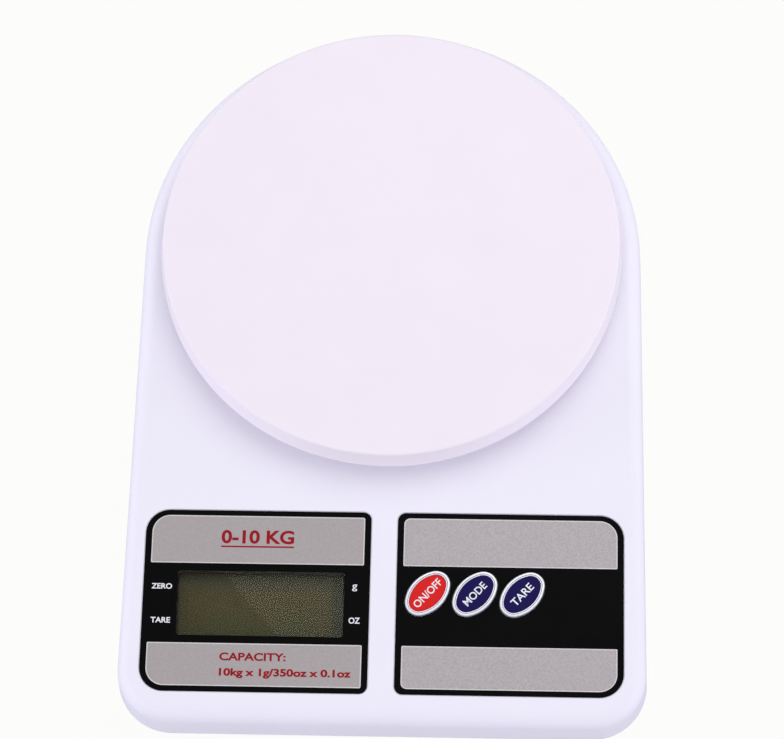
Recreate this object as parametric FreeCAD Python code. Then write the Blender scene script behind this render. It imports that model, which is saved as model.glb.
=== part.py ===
import FreeCAD, Part
import math
import os

# A digital gram scale.  Millimetres, +Z up, origin on the table under the middle of the body,
# +Y towards the rear, +X to the right of a person who reads the display.

Vector = FreeCAD.Vector
ALONG_X = Vector(1, 0, 0)
ALONG_Y = Vector(0, 1, 0)
ALONG_Z = Vector(0, 0, 1)
SIDES = (-1, 1)
OVERRUN = 1.0                    # how far a cutting shape passes the face that it cuts

# Body in plan
BODY_LENGTH = 237.3
BODY_FRONT_WIDTH = 165.0
REAR_RADIUS = 80.8               # rear half-round, about the same centre as the platform
FRONT_CORNER_RADIUS = 17.5

# Body in section
UNDERSIDE_HEIGHT = 1.5           # bottom cover above the table
FLOOR_THICKNESS = 2.0
WALL = 2.2
TOP_PANEL = 2.2
BOTTOM_COVER_HEIGHT = 6.5
BOTTOM_TAPER = 2.0
TOP_DRAFT = 0.8
TOP_EDGE_RADIUS = 4.5
BOTTOM_EDGE_RADIUS = 1.2
CEILING_EDGE_RADIUS = 2.2
FLOOR_EDGE_RADIUS = 1.0
CORNER_CORE_RADIUS = 1.5         # plan corner where the flat panels take over from the rounded wall
PARTING_GROOVE = 0.35
TONGUE_THICKNESS = 1.0
TONGUE_HEIGHT = 1.8
TONGUE_CLEARANCE = 0.1

# Platform
PLATFORM_RADIUS = 74.2
PLATFORM_RIM_HEIGHT = 7.5
PLATFORM_TAPER = 1.1             # how far the rim leans in from its lower edge to its top
PLATFORM_EDGE_RADIUS = 0.7
PLATFORM_PLATE = 2.4
PLATFORM_RIM_WALL = 2.0
PLATFORM_GAP = 4.5               # rim above the housing
SEAT_RING_RADIUS = 46.0
SEAT_RING_WALL = 1.6
HUB_RING_RADIUS = 14.0
RIB_THICKNESS = 1.2
RIB_COUNT = 12
OUTER_RIB_DEPTH = 3.6
INNER_RIB_DEPTH = 2.2
HOOK_WIDTH = 9.0
HOOK_THICKNESS = 1.5
HOOK_BARB = 1.1
HOOK_BARB_HEIGHT = 0.5
HOOK_CLEARANCE = 0.2
HOOK_ANGLES = (45, 135, 225, 315)

# Carrier between the load cell and the platform
CARRIER_RADIUS = 50.0
CARRIER_THICKNESS = 2.0
CARRIER_GAP = 1.4                # carrier above the housing
CARRIER_HUB_RADIUS = 16.0
CARRIER_RIM_WALL = 7.0
SPOKE_WIDTH = 17.0
SPOKE_RIB_HEIGHT = 2.0
SPOKE_RIB_THICKNESS = 1.6

# Load cell: an aluminium beam with two bores that meet, along X under the platform
LOAD_CELL_LENGTH = 75.0
LOAD_CELL_WIDTH = 12.7
LOAD_CELL_HEIGHT = 12.7
LOAD_CELL_TOP_GAP = 1.4          # beam below the ceiling
LOAD_CELL_BORE_RADIUS = 4.9
LOAD_CELL_BORE_SPACING = 13.0
LOAD_CELL_SLOT_HEIGHT = 3.0
SCREW_FROM_END = 5.0
SCREW_PITCH = 12.0
TAPPED_DEPTH = 9.5
PEDESTAL_OVERHANG = 2.0          # pedestal beyond the outline of the beam's end
PEDESTAL_LENGTH = 20.0
OVERLOAD_GAP = 0.6               # overload stop below the free end
OVERLOAD_STOP_SIZE = 8.0
SPACER_LENGTH = 19.0
SPACER_OPENING_CLEARANCE = 2.5
GAUGE_COAT_LENGTH = 24.0
GAUGE_COAT_THICKNESS = 0.8

# Machine screws M4, and self-tapping screws for the housing and the board
M4_RADIUS = 1.95
M4_HEAD_RADIUS = 3.6
M4_HEAD_HEIGHT = 2.4
M4_THREAD_DEPTH = 8.5            # engaged in the beam
CASE_SCREW_RADIUS = 1.45
CASE_SCREW_HEAD_RADIUS = 2.8
CASE_SCREW_HEAD_HEIGHT = 2.0
CASE_SCREW_THREAD = 8.0          # engaged in the boss
BOARD_SCREW_RADIUS = 1.2
BOARD_SCREW_HEAD_RADIUS = 2.3
BOARD_SCREW_HEAD_HEIGHT = 1.6
BOARD_SCREW_THREAD = 5.0
THREAD_CLEARANCE = 0.05
SHANK_CLEARANCE = 0.25
HEAD_CLEARANCE = 0.3
BLIND_END = 1.0                  # pilot hole beyond the screw's end
PAN_HEAD_CROWN = 0.8             # width of a head's top against its seat

# Bosses and wells of the case screws
CASE_BOSS_RADIUS = 3.5
WELL_WALL = 1.2
WELL_SEAT = 1.8                  # plastic under the screw head
FRONT_SCREW_X = 68.0
FRONT_SCREW_FROM_EDGE = 10.5
MIDDLE_SCREW_X = 72.0
MIDDLE_SCREW_Y = -38.0
REAR_SCREW_X = 30.0
REAR_SCREW_FROM_EDGE = 15.0

# Feet
FOOT_RADIUS = 7.0
FOOT_HEIGHT = 2.5
FOOT_CHAMFER = 0.6
FOOT_RECESS_CLEARANCE = 0.2
FOOT_PAD = 0.8
FRONT_FOOT_X = 58.0
FRONT_FOOT_FROM_EDGE = 31.0
REAR_FOOT_X = 54.0
REAR_FOOT_FROM_EDGE = 49.0

# Battery bay: two AA cells side by side along X
CELL_DIAMETER = 14.3
CELL_LENGTH = 50.5
CELL_NUB_RADIUS = 2.7
CELL_NUB_LENGTH = 1.2
CELL_CHAMFER = 0.8
CELL_CLEARANCE = 0.3
SPRING_LENGTH = 4.6
CONTACT_PLATE = 0.4
CONTACT_WIDTH = 11.0
CONTACT_HEIGHT = 10.0
SPRING_SEAT = 0.1                # leaf short of the cell
LEAF_WIDTH = 6.0
LEAF_THICKNESS = 0.4
LEAF_BEND = 1.2
BAY_WALL = 1.5
BAY_ROOF = 1.1
BAY_ROOF_GAP = 0.2               # bay roof below the ceiling
BAY_CENTRE_Y = -17.0
DOOR_THICKNESS = 1.8
DOOR_CLEARANCE = 0.3
DOOR_TAB_WIDTH = 8.0
DOOR_TAB_X = 20.0
DOOR_TAB_THICKNESS = 1.1
DOOR_TAB_REACH = 1.8
DOOR_TAB_LIFT = 0.2
DOOR_TAB_RISER = 1.2
DOOR_NOTCH_HEIGHT = 2.2
LATCH_WIDTH = 14.0
LATCH_REACH = 4.7
LATCH_SLIT = 1.0
LATCH_SLIT_LENGTH = 9.0
LATCH_POCKET_WALL = 1.5
LATCH_POCKET_GAP = 0.4
GRIP_COUNT = 3
GRIP_PITCH = 1.4
GRIP_HEIGHT = 0.3
FINGER_SCOOP_RADIUS = 12.0
FINGER_SCOOP_DEPTH = 1.0
FINGER_SCOOP_WIDTH = 16.0
DOOR_RIB_HEIGHT = 0.3
DOOR_RIB_COUNT = 5
DOOR_RIB_PITCH = 10.0

# Labels in their recesses
LABEL_WIDTH = 70.7
LABEL_DEPTH = 58.8
LABEL_SPACING = 8.3              # between the two labels
LABEL_FROM_FRONT = 9.7
LABEL_THICKNESS = 0.25
LABEL_RECESS = 0.35
LABEL_CLEARANCE = 0.25
LABEL_OUTER_RADIUS = 7.6
LABEL_INNER_RADIUS = 2.6

# Display
WINDOW_WIDTH = 51.8
WINDOW_DEPTH = 20.8
WINDOW_OFFSET_X = 1.5            # from the label's centre
WINDOW_OFFSET_Y = -1.0
WINDOW_CORNER_RADIUS = 0.8
WINDOW_CLEARANCE = 0.15
LENS_FLANGE = 1.0
LENS_FLANGE_MARGIN = 2.0
LCD_MARGIN = 2.6                 # glass beyond the window
LCD_THICKNESS = 2.4
LCD_LOWER_GLASS = 1.1
LCD_LEDGE = 2.0
LCD_FRAME_WALL = 1.5
LCD_FRAME_CLEARANCE = 0.1
LCD_FRAME_LIP = 0.8
LCD_FRAME_LIP_REACH = 1.2
LCD_AIR_GAP = 1.0
FRAME_PEG_RADIUS = 1.0
FRAME_PEG_CLEARANCE = 0.1
FRAME_PEG_WALL = 1.2
FRAME_PEG_FROM_END = 12.0
FRAME_PEG_RISE = 0.6
ZEBRA_HEIGHT = 2.6
ZEBRA_WIDTH = 1.8

# Keys and switches
KEY_NAMES = ("power", "mode", "tare")
KEY_HALF_LENGTH = 8.25
KEY_HALF_WIDTH = 5.55
KEY_END_RADIUS = 4.3
KEY_TURN = 48.0
KEY_PITCH = 14.7
KEY_FIRST_X = 9.75               # from the label's inner edge
KEY_OFFSET_Y = 3.1               # from the label's centre
KEY_RISE = 0.7
KEY_RIM = 1.1
KEY_DISH = 0.3
KEY_EDGE_RADIUS = 0.3
KEY_CLEARANCE = 0.3
KEY_LUG_WIDTH = 4.0
KEY_LUG_REACH = 1.2
KEY_LUG_THICKNESS = 1.0
KEY_LUG_GAP = 0.2
KEY_STEM_RADIUS = 2.0
KEY_TRAVEL = 0.3
SWITCH_SIZE = 6.0
SWITCH_HEIGHT = 3.5
SWITCH_CORNER_RADIUS = 0.5
PLUNGER_RADIUS = 1.7
PLUNGER_RISE = 0.8
PLUNGER_HOLD = 0.6               # plunger inside the switch at rest
PLUNGER_CLEARANCE = 0.1

# Circuit board
BOARD_THICKNESS = 1.6
BOARD_BOSS_RADIUS = 3.0
BOARD_SCREW_INSET = 3.6
BOARD_MARGIN_Y = 7.4             # board beyond the display frame, front and rear
BOARD_MARGIN_LEFT = 2.0
BOARD_MARGIN_RIGHT = 13.0        # board beyond the last key
BOARD_CORNER_RADIUS = 1.5
BLOB_RADIUS = 7.0
BLOB_HEIGHT = 1.8
BLOB_CROWN = 0.6                 # width of the mound's top against its foot

# Leads
LEAD_RADIUS = 0.55
LEAD_PITCH = 1.6
LEAD_BEND = 3.0
CABLE_RADIUS = 1.3
CABLE_FROM_BAY = 13.0
BATTERY_LEAD_HEIGHT = 9.0

# Heights, from the table up
FLOOR_Z = UNDERSIDE_HEIGHT + FLOOR_THICKNESS
PARTING_Z = UNDERSIDE_HEIGHT + BOTTOM_COVER_HEIGHT
DOOR_TOP_Z = UNDERSIDE_HEIGHT + DOOR_THICKNESS
CELL_Z = DOOR_TOP_Z + DOOR_RIB_HEIGHT + CELL_CLEARANCE + CELL_DIAMETER / 2
BAY_CEILING_Z = CELL_Z + CELL_DIAMETER / 2 + CELL_CLEARANCE
CEILING_Z = BAY_CEILING_Z + BAY_ROOF + BAY_ROOF_GAP
BODY_TOP_Z = CEILING_Z + TOP_PANEL
PLATFORM_RIM_Z = BODY_TOP_Z + PLATFORM_GAP
PLATFORM_TOP_Z = PLATFORM_RIM_Z + PLATFORM_RIM_HEIGHT
PLATE_UNDER_Z = PLATFORM_TOP_Z - PLATFORM_PLATE
CARRIER_Z = BODY_TOP_Z + CARRIER_GAP
CARRIER_TOP_Z = CARRIER_Z + CARRIER_THICKNESS
LOAD_CELL_TOP_Z = CEILING_Z - LOAD_CELL_TOP_GAP
LOAD_CELL_Z = LOAD_CELL_TOP_Z - LOAD_CELL_HEIGHT
LENS_UNDER_Z = CEILING_Z - LENS_FLANGE
LCD_TOP_Z = LENS_UNDER_Z - LCD_AIR_GAP
LCD_Z = LCD_TOP_Z - LCD_THICKNESS
BOARD_TOP_Z = LCD_Z - ZEBRA_HEIGHT
BOARD_Z = BOARD_TOP_Z - BOARD_THICKNESS
SWITCH_TOP_Z = BOARD_TOP_Z + SWITCH_HEIGHT
PLUNGER_TIP_Z = SWITCH_TOP_Z + PLUNGER_RISE
WELL_SEAT_Z = PARTING_Z - WELL_SEAT

# Places in plan
FRONT_Y = -BODY_LENGTH / 2
PLATFORM_Y = BODY_LENGTH / 2 - REAR_RADIUS
LABEL_INNER_X = LABEL_SPACING / 2
LABEL_FRONT_Y = FRONT_Y + LABEL_FROM_FRONT
LABEL_CENTRE_Y = LABEL_FRONT_Y + LABEL_DEPTH / 2
WINDOW_X = -LABEL_INNER_X - LABEL_WIDTH / 2 + WINDOW_OFFSET_X
WINDOW_Y = LABEL_CENTRE_Y + WINDOW_OFFSET_Y
KEY_Y = LABEL_CENTRE_Y + KEY_OFFSET_Y
KEY_PLACES = [LABEL_INNER_X + KEY_FIRST_X + KEY_PITCH * step for step in range(len(KEY_NAMES))]
LCD_WIDTH = WINDOW_WIDTH + 2 * LCD_MARGIN
LCD_DEPTH = WINDOW_DEPTH + 2 * LCD_MARGIN
FRAME_WIDTH = LCD_WIDTH + 2 * (LCD_FRAME_WALL + LCD_FRAME_CLEARANCE)
FRAME_DEPTH = LCD_DEPTH + 2 * (LCD_FRAME_WALL + LCD_FRAME_CLEARANCE)
BOARD_LEFT = WINDOW_X - FRAME_WIDTH / 2 - BOARD_MARGIN_LEFT
BOARD_RIGHT = KEY_PLACES[-1] + BOARD_MARGIN_RIGHT
BOARD_FRONT = WINDOW_Y - FRAME_DEPTH / 2 - BOARD_MARGIN_Y
BOARD_REAR = WINDOW_Y + FRAME_DEPTH / 2 + BOARD_MARGIN_Y
BAY_HALF_LENGTH = (CELL_LENGTH + SPRING_LENGTH) / 2 + CONTACT_PLATE
BAY_HALF_WIDTH = CELL_DIAMETER + 1.5 * CELL_CLEARANCE
BAY_REAR = BAY_CENTRE_Y + BAY_HALF_WIDTH
BAY_FRONT = BAY_CENTRE_Y - BAY_HALF_WIDTH
CELL_SHIFT_X = SPRING_LENGTH / 2
CELL_OFFSET_Y = (CELL_DIAMETER + CELL_CLEARANCE) / 2
LOAD_SCREW_PLACES = [LOAD_CELL_LENGTH / 2 - SCREW_FROM_END - SCREW_PITCH * step for step in (0, 1)]
SPACER_INNER_X = LOAD_CELL_LENGTH / 2 - SPACER_LENGTH

CASE_SCREW_PLACES = [
    (side * x, y)
    for x, y in (
        (FRONT_SCREW_X, FRONT_Y + FRONT_SCREW_FROM_EDGE),
        (MIDDLE_SCREW_X, MIDDLE_SCREW_Y),
        (REAR_SCREW_X, BODY_LENGTH / 2 - REAR_SCREW_FROM_EDGE),
    )
    for side in SIDES
]
FOOT_PLACES = [
    (side * x, y)
    for x, y in (
        (FRONT_FOOT_X, FRONT_Y + FRONT_FOOT_FROM_EDGE),
        (REAR_FOOT_X, BODY_LENGTH / 2 - REAR_FOOT_FROM_EDGE),
    )
    for side in SIDES
]
BOARD_SCREW_PLACES = [
    (x, y)
    for x in (BOARD_LEFT + BOARD_SCREW_INSET, BOARD_RIGHT - BOARD_SCREW_INSET)
    for y in (BOARD_FRONT + BOARD_SCREW_INSET, BOARD_REAR - BOARD_SCREW_INSET)
]


# ---------------------------------------------------------------- basic shapes

def block(x0, x1, y0, y1, z0, z1):
    """A box between two corners."""
    return Part.makeBox(x1 - x0, y1 - y0, z1 - z0, Vector(x0, y0, z0))


def centred_block(x, y, width, depth, z0, z1):
    """A box about a point in plan."""
    return block(x - width / 2, x + width / 2, y - depth / 2, y + depth / 2, z0, z1)


def post(x, y, z0, z1, radius):
    """An upright cylinder."""
    return Part.makeCylinder(radius, z1 - z0, Vector(x, y, z0))


def fuse(shapes):
    """One solid from shapes that meet."""
    return shapes[0].multiFuse(shapes[1:]).removeSplitter()


def extrude(wire, height):
    """A solid above a flat wire."""
    return Part.Face(wire).extrude(Vector(0, 0, height))


def edges_at(shape, z):
    """The edges of a shape that lie flat at one height."""
    return [edge for edge in shape.Edges if all(abs(v.Z - z) < 1e-6 for v in edge.Vertexes)]


def filleted(corners, closed):
    """Straight edges through corner points, joined by tangent arcs.  corners holds (point, radius)."""
    count = len(corners)
    starts = []
    ends = []
    arcs = []
    for index, (corner, radius) in enumerate(corners):
        at_end = not closed and index in (0, count - 1)
        if at_end or radius == 0:
            starts.append(corner)
            ends.append(corner)
            arcs.append(None)
            continue
        into = (corner - corners[index - 1][0]).normalize()
        out = (corners[(index + 1) % count][0] - corner).normalize()
        half_turn = into.getAngle(out) / 2
        setback = radius * math.tan(half_turn)
        middle = corner + (out - into).normalize() * (radius / math.cos(half_turn) - radius)
        starts.append(corner - into * setback)
        ends.append(corner + out * setback)
        arcs.append(Part.Arc(starts[-1], middle, ends[-1]).toShape())
    edges = []
    for index in range(count):
        if arcs[index]:
            edges.append(arcs[index])
        if closed or index < count - 1:
            edges.append(Part.makeLine(ends[index], starts[(index + 1) % count]))
    return edges


def carried(points, bend, section):
    """A section carried along straight runs joined by tangent arcs.  section(start, way) gives its face."""
    pieces = []
    for edge in filleted([(point, bend) for point in points], False):
        start, end = edge.Vertexes[0].Point, edge.Vertexes[-1].Point
        if isinstance(edge.Curve, Part.Circle):
            centre = edge.Curve.Center
            axis = edge.Curve.Axis
            turn = math.degrees(edge.Length / edge.Curve.Radius)
            pieces.append(section(start, axis.cross(start - centre)).revolve(centre, axis, turn))
        else:
            pieces.append(section(start, end - start).extrude(end - start))
    return fuse(pieces)


def rounded_plate(x0, x1, y0, y1, z0, z1, left_radius, right_radius):
    """A plate with one corner radius on its left and another on its right."""
    corners = [
        (Vector(x0, y0, z0), left_radius),
        (Vector(x1, y0, z0), right_radius),
        (Vector(x1, y1, z0), right_radius),
        (Vector(x0, y1, z0), left_radius),
    ]
    return extrude(Part.Wire(filleted(corners, True)), z1 - z0)


def plan_arcs():
    """The body's plan as (centre, radius, start angle, end angle), anticlockwise from the right side.
    The rear half-round and the two front corners are joined by their common tangents."""
    corner_x = BODY_FRONT_WIDTH / 2 - FRONT_CORNER_RADIUS
    corner_y = FRONT_Y + FRONT_CORNER_RADIUS
    run = Vector(corner_x, corner_y - PLATFORM_Y, 0)
    tangent = math.acos((REAR_RADIUS - FRONT_CORNER_RADIUS) / run.Length)
    lean = math.degrees(math.atan2(run.y, run.x) + tangent)
    rear = Vector(0, PLATFORM_Y, 0)
    return [
        (rear, REAR_RADIUS, lean, 90),
        (rear, REAR_RADIUS, 90, 180 - lean),
        (Vector(-corner_x, corner_y, 0), FRONT_CORNER_RADIUS, 180 - lean, 270),
        (Vector(corner_x, corner_y, 0), FRONT_CORNER_RADIUS, 270, 360 + lean),
    ]


def plan_point(centre, radius, angle, inset, z):
    """The point of the body's outline at an angle of one of its arcs, moved inwards by inset."""
    turned = math.radians(angle)
    reach = radius - inset
    return centre + Vector(reach * math.cos(turned), reach * math.sin(turned), z)


def body_prism(inset, z0, z1):
    """A prism with the body's plan outline moved inwards."""
    edges = []
    arcs = plan_arcs()
    for index, (centre, radius, start, end) in enumerate(arcs):
        points = [plan_point(centre, radius, angle, inset, z0) for angle in (start, (start + end) / 2, end)]
        edges.append(Part.Arc(*points).toShape())
        next_centre, next_radius, next_start, _ = arcs[(index + 1) % len(arcs)]
        following = plan_point(next_centre, next_radius, next_start, inset, z0)
        if following.distanceToPoint(points[-1]) > 1e-6:
            edges.append(Part.makeLine(points[-1], following))
    return extrude(Part.Wire(edges), z1 - z0)


def swept_wall(profile):
    """A wall section carried round the body's plan.  profile holds (inset, z, corner radius)."""
    pieces = []
    arcs = plan_arcs()
    for index, (centre, radius, start, end) in enumerate(arcs):
        def section(angle):
            corners = [(plan_point(centre, radius, angle, inset, z), fillet) for inset, z, fillet in profile]
            return Part.Face(Part.Wire(filleted(corners, True)))
        pieces.append(section(start).revolve(centre, ALONG_Z, end - start))
        next_centre, next_radius, next_start, _ = arcs[(index + 1) % len(arcs)]
        run = plan_point(next_centre, next_radius, next_start, 0, 0) - plan_point(centre, radius, end, 0, 0)
        if run.Length > 1e-6:
            pieces.append(section(end).extrude(run))
    return fuse(pieces)


def oval(x, y, growth, z0, z1):
    """An upright prism with a key's outline of four tangent arcs, larger all round by growth."""
    end_x = KEY_HALF_LENGTH - KEY_END_RADIUS
    squares = end_x ** 2 + KEY_HALF_WIDTH ** 2 - KEY_END_RADIUS ** 2
    side_radius = squares / (2 * (KEY_HALF_WIDTH - KEY_END_RADIUS))
    side_y = side_radius - KEY_HALF_WIDTH
    spread = math.degrees(math.atan2(side_y, end_x))
    edges = []
    for centre_x, centre_y, radius, start, end in (
        (end_x, 0, KEY_END_RADIUS, -spread, spread),
        (0, -side_y, side_radius, spread, 180 - spread),
        (-end_x, 0, KEY_END_RADIUS, 180 - spread, 180 + spread),
        (0, side_y, side_radius, 180 + spread, 360 - spread),
    ):
        points = [plan_point(Vector(x + centre_x, y + centre_y, 0), radius + growth, angle, 0, z0)
                  for angle in (start, (start + end) / 2, end)]
        edges.append(Part.Arc(*points).toShape())
    solid = extrude(Part.Wire(edges), z1 - z0)
    solid.rotate(Vector(x, y, 0), ALONG_Z, KEY_TURN)
    return solid


def revolved(profile, x, y):
    """A solid of revolution about the upright line through x, y from a profile of (radius, z) points."""
    points = [Vector(x + radius, y, z) for radius, z in profile]
    face = Part.Face(Part.makePolygon(points + points[:1]))
    return face.revolve(Vector(x, y, 0), ALONG_Z, 360)


def screw(x, y, seat_z, way, radius, head_radius, head_height, reach):
    """A pan-head screw whose head sits at seat_z and whose shank runs up (way 1) or down (way -1)."""
    profile = [
        (0, seat_z - way * head_height),
        (head_radius * PAN_HEAD_CROWN, seat_z - way * head_height),
        (head_radius, seat_z),
        (radius, seat_z),
        (radius, seat_z + way * reach),
        (0, seat_z + way * reach),
    ]
    return revolved(profile, x, y)


# ---------------------------------------------------------------- housing

def case_boss(x, y):
    return post(x, y, PARTING_Z, CEILING_Z, CASE_BOSS_RADIUS)


def case_boss_pilot(x, y):
    depth = CASE_SCREW_THREAD + BLIND_END
    return post(x, y, PARTING_Z - OVERRUN, PARTING_Z + depth, CASE_SCREW_RADIUS + THREAD_CLEARANCE)


def board_boss(x, y):
    return post(x, y, BOARD_TOP_Z, CEILING_Z, BOARD_BOSS_RADIUS)


def board_boss_pilot(x, y):
    depth = BOARD_SCREW_THREAD + BLIND_END
    return post(x, y, BOARD_TOP_Z - OVERRUN, BOARD_TOP_Z + depth, BOARD_SCREW_RADIUS + THREAD_CLEARANCE)


def label_plate(side, growth, z0, z1):
    """A plate of one label's outline: side -1 is the display's, side 1 the keys'."""
    inner = LABEL_INNER_X - growth
    outer = LABEL_INNER_X + LABEL_WIDTH + growth
    low_y = LABEL_FRONT_Y - growth
    high_y = LABEL_FRONT_Y + LABEL_DEPTH + growth
    inner_radius = LABEL_INNER_RADIUS + growth
    outer_radius = LABEL_OUTER_RADIUS + growth
    if side > 0:
        return rounded_plate(inner, outer, low_y, high_y, z0, z1, inner_radius, outer_radius)
    return rounded_plate(-outer, -inner, low_y, high_y, z0, z1, outer_radius, inner_radius)


def window_plate(growth, z0, z1):
    """A plate of the display window's outline."""
    half_width = WINDOW_WIDTH / 2 + growth
    half_depth = WINDOW_DEPTH / 2 + growth
    radius = WINDOW_CORNER_RADIUS + max(growth, 0)
    return rounded_plate(WINDOW_X - half_width, WINDOW_X + half_width, WINDOW_Y - half_depth,
                         WINDOW_Y + half_depth, z0, z1, radius, radius)


def spacer_opening():
    """The hole in the housing that the load cell's spacer passes through."""
    x0 = SPACER_INNER_X - SPACER_OPENING_CLEARANCE
    x1 = LOAD_CELL_LENGTH / 2 + SPACER_OPENING_CLEARANCE
    half = LOAD_CELL_WIDTH / 2 + SPACER_OPENING_CLEARANCE
    low = CEILING_Z - OVERRUN
    high = BODY_TOP_Z + OVERRUN
    return rounded_plate(x0, x1, PLATFORM_Y - half, PLATFORM_Y + half, low, high,
                         SPACER_OPENING_CLEARANCE, SPACER_OPENING_CLEARANCE)


def ceiling_ribs():
    """Ribs that stiffen the top panel behind the labels and beside the load cell."""
    depth = BAY_ROOF_GAP + BAY_ROOF
    rib_y = BOARD_REAR + BOARD_MARGIN_Y
    half = BODY_FRONT_WIDTH / 2 - WALL - TOP_DRAFT
    ribs = [block(-half, half, rib_y, rib_y + RIB_THICKNESS, CEILING_Z - depth, CEILING_Z)]
    for side in SIDES:
        reach = LOAD_CELL_WIDTH + SPACER_OPENING_CLEARANCE
        y = PLATFORM_Y + side * reach
        ribs.append(centred_block(0, y, 2 * SEAT_RING_RADIUS, RIB_THICKNESS, CEILING_Z - depth, CEILING_Z))
    return ribs


def top_housing():
    """Upper shell: drafted walls, rounded top edge, label recesses and the openings of the top panel."""
    core_inset = FRONT_CORNER_RADIUS - CORNER_CORE_RADIUS
    rabbet = WALL - TONGUE_THICKNESS - TONGUE_CLEARANCE
    rabbet_top = PARTING_Z + TONGUE_HEIGHT + TONGUE_CLEARANCE
    wall = swept_wall([
        (0, PARTING_Z, 0),
        (TOP_DRAFT, BODY_TOP_Z, TOP_EDGE_RADIUS),
        (core_inset, BODY_TOP_Z, 0),
        (core_inset, CEILING_Z, 0),
        (WALL + TOP_DRAFT, CEILING_Z, CEILING_EDGE_RADIUS),
        (WALL, rabbet_top, 0),
        (rabbet, rabbet_top, 0),
        (rabbet, PARTING_Z, 0),
    ])
    shell = fuse([wall, body_prism(core_inset, CEILING_Z, BODY_TOP_Z)])
    bosses = [case_boss(x, y) for x, y in CASE_SCREW_PLACES]
    bosses += [board_boss(x, y) for x, y in BOARD_SCREW_PLACES]
    shell = fuse([shell] + bosses + ceiling_ribs())
    cuts = [case_boss_pilot(x, y) for x, y in CASE_SCREW_PLACES]
    cuts += [board_boss_pilot(x, y) for x, y in BOARD_SCREW_PLACES]
    above = BODY_TOP_Z + OVERRUN
    below = CEILING_Z - OVERRUN
    cuts += [label_plate(side, LABEL_CLEARANCE, BODY_TOP_Z - LABEL_RECESS, above) for side in SIDES]
    cuts += [oval(x, KEY_Y, KEY_CLEARANCE, below, above) for x in KEY_PLACES]
    cuts.append(window_plate(WINDOW_CLEARANCE, below, above))
    cuts.append(spacer_opening())
    return shell.cut(cuts)


def foot_recess(x, y):
    depth = FOOT_HEIGHT - UNDERSIDE_HEIGHT
    low = UNDERSIDE_HEIGHT - OVERRUN
    return post(x, y, low, UNDERSIDE_HEIGHT + depth, FOOT_RADIUS + FOOT_RECESS_CLEARANCE)


def foot_pad(x, y):
    return post(x, y, FLOOR_Z - FOOT_PAD, FLOOR_Z + FOOT_PAD, FOOT_RADIUS + WELL_WALL)


def screw_well(x, y):
    radius = CASE_SCREW_HEAD_RADIUS + HEAD_CLEARANCE + WELL_WALL
    return post(x, y, UNDERSIDE_HEIGHT, PARTING_Z, radius)


def screw_well_bores(x, y):
    head = post(x, y, UNDERSIDE_HEIGHT - OVERRUN, WELL_SEAT_Z, CASE_SCREW_HEAD_RADIUS + HEAD_CLEARANCE)
    shank = post(x, y, WELL_SEAT_Z - OVERRUN, PARTING_Z + OVERRUN, CASE_SCREW_RADIUS + SHANK_CLEARANCE)
    return [head, shank]


def load_cell_supports():
    """Pedestal under the fixed end, stop under the free end, and the ribs that tie them together."""
    x0 = -LOAD_CELL_LENGTH / 2 - PEDESTAL_OVERHANG
    half = LOAD_CELL_WIDTH / 2 + PEDESTAL_OVERHANG
    pedestal = block(x0, x0 + PEDESTAL_LENGTH + PEDESTAL_OVERHANG, PLATFORM_Y - half, PLATFORM_Y + half,
                     UNDERSIDE_HEIGHT, LOAD_CELL_Z)
    stop_x = LOAD_CELL_LENGTH / 2 - OVERLOAD_STOP_SIZE / 2
    stop = centred_block(stop_x, PLATFORM_Y, OVERLOAD_STOP_SIZE, OVERLOAD_STOP_SIZE,
                         UNDERSIDE_HEIGHT, LOAD_CELL_Z - OVERLOAD_GAP)
    ribs = []
    for side in SIDES:
        y = PLATFORM_Y + side * (half - RIB_THICKNESS / 2)
        ribs.append(centred_block(0, y, 2 * -x0, RIB_THICKNESS, UNDERSIDE_HEIGHT, LOAD_CELL_Z - OVERLOAD_GAP))
        x = side * (LOAD_CELL_LENGTH / 2 + OVERLOAD_STOP_SIZE)
        ribs.append(centred_block(x, PLATFORM_Y, RIB_THICKNESS, 2 * SEAT_RING_RADIUS,
                                  UNDERSIDE_HEIGHT, LOAD_CELL_Z - OVERLOAD_GAP))
        ribs.append(centred_block(x / 2, PLATFORM_Y + side * 2 * half, abs(x), RIB_THICKNESS,
                                  UNDERSIDE_HEIGHT, FLOOR_Z + RIB_THICKNESS))
    return [pedestal, stop] + ribs


def load_screw_bores():
    """Head pockets and shank holes of the screws that hold the beam's fixed end."""
    low = UNDERSIDE_HEIGHT - OVERRUN
    pocket_z = UNDERSIDE_HEIGHT + M4_HEAD_HEIGHT + HEAD_CLEARANCE
    bores = []
    for place in LOAD_SCREW_PLACES:
        bores.append(post(-place, PLATFORM_Y, low, pocket_z, M4_HEAD_RADIUS + HEAD_CLEARANCE))
        bores.append(post(-place, PLATFORM_Y, low, LOAD_CELL_Z + OVERRUN, M4_RADIUS + SHANK_CLEARANCE))
    return bores


def battery_bay():
    """Walls and roof of the battery bay, with the latch's pocket in front."""
    walls = block(-BAY_HALF_LENGTH - BAY_WALL, BAY_HALF_LENGTH + BAY_WALL, BAY_FRONT - BAY_WALL,
                  BAY_REAR + BAY_WALL, UNDERSIDE_HEIGHT, BAY_CEILING_Z + BAY_ROOF)
    half = LATCH_WIDTH / 2 + DOOR_CLEARANCE + LATCH_POCKET_WALL
    pocket = block(-half, half, BAY_FRONT - LATCH_REACH - DOOR_CLEARANCE - LATCH_POCKET_WALL, BAY_FRONT,
                   UNDERSIDE_HEIGHT, DOOR_TOP_Z + LATCH_POCKET_GAP + LATCH_POCKET_WALL)
    return [walls, pocket]


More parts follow.
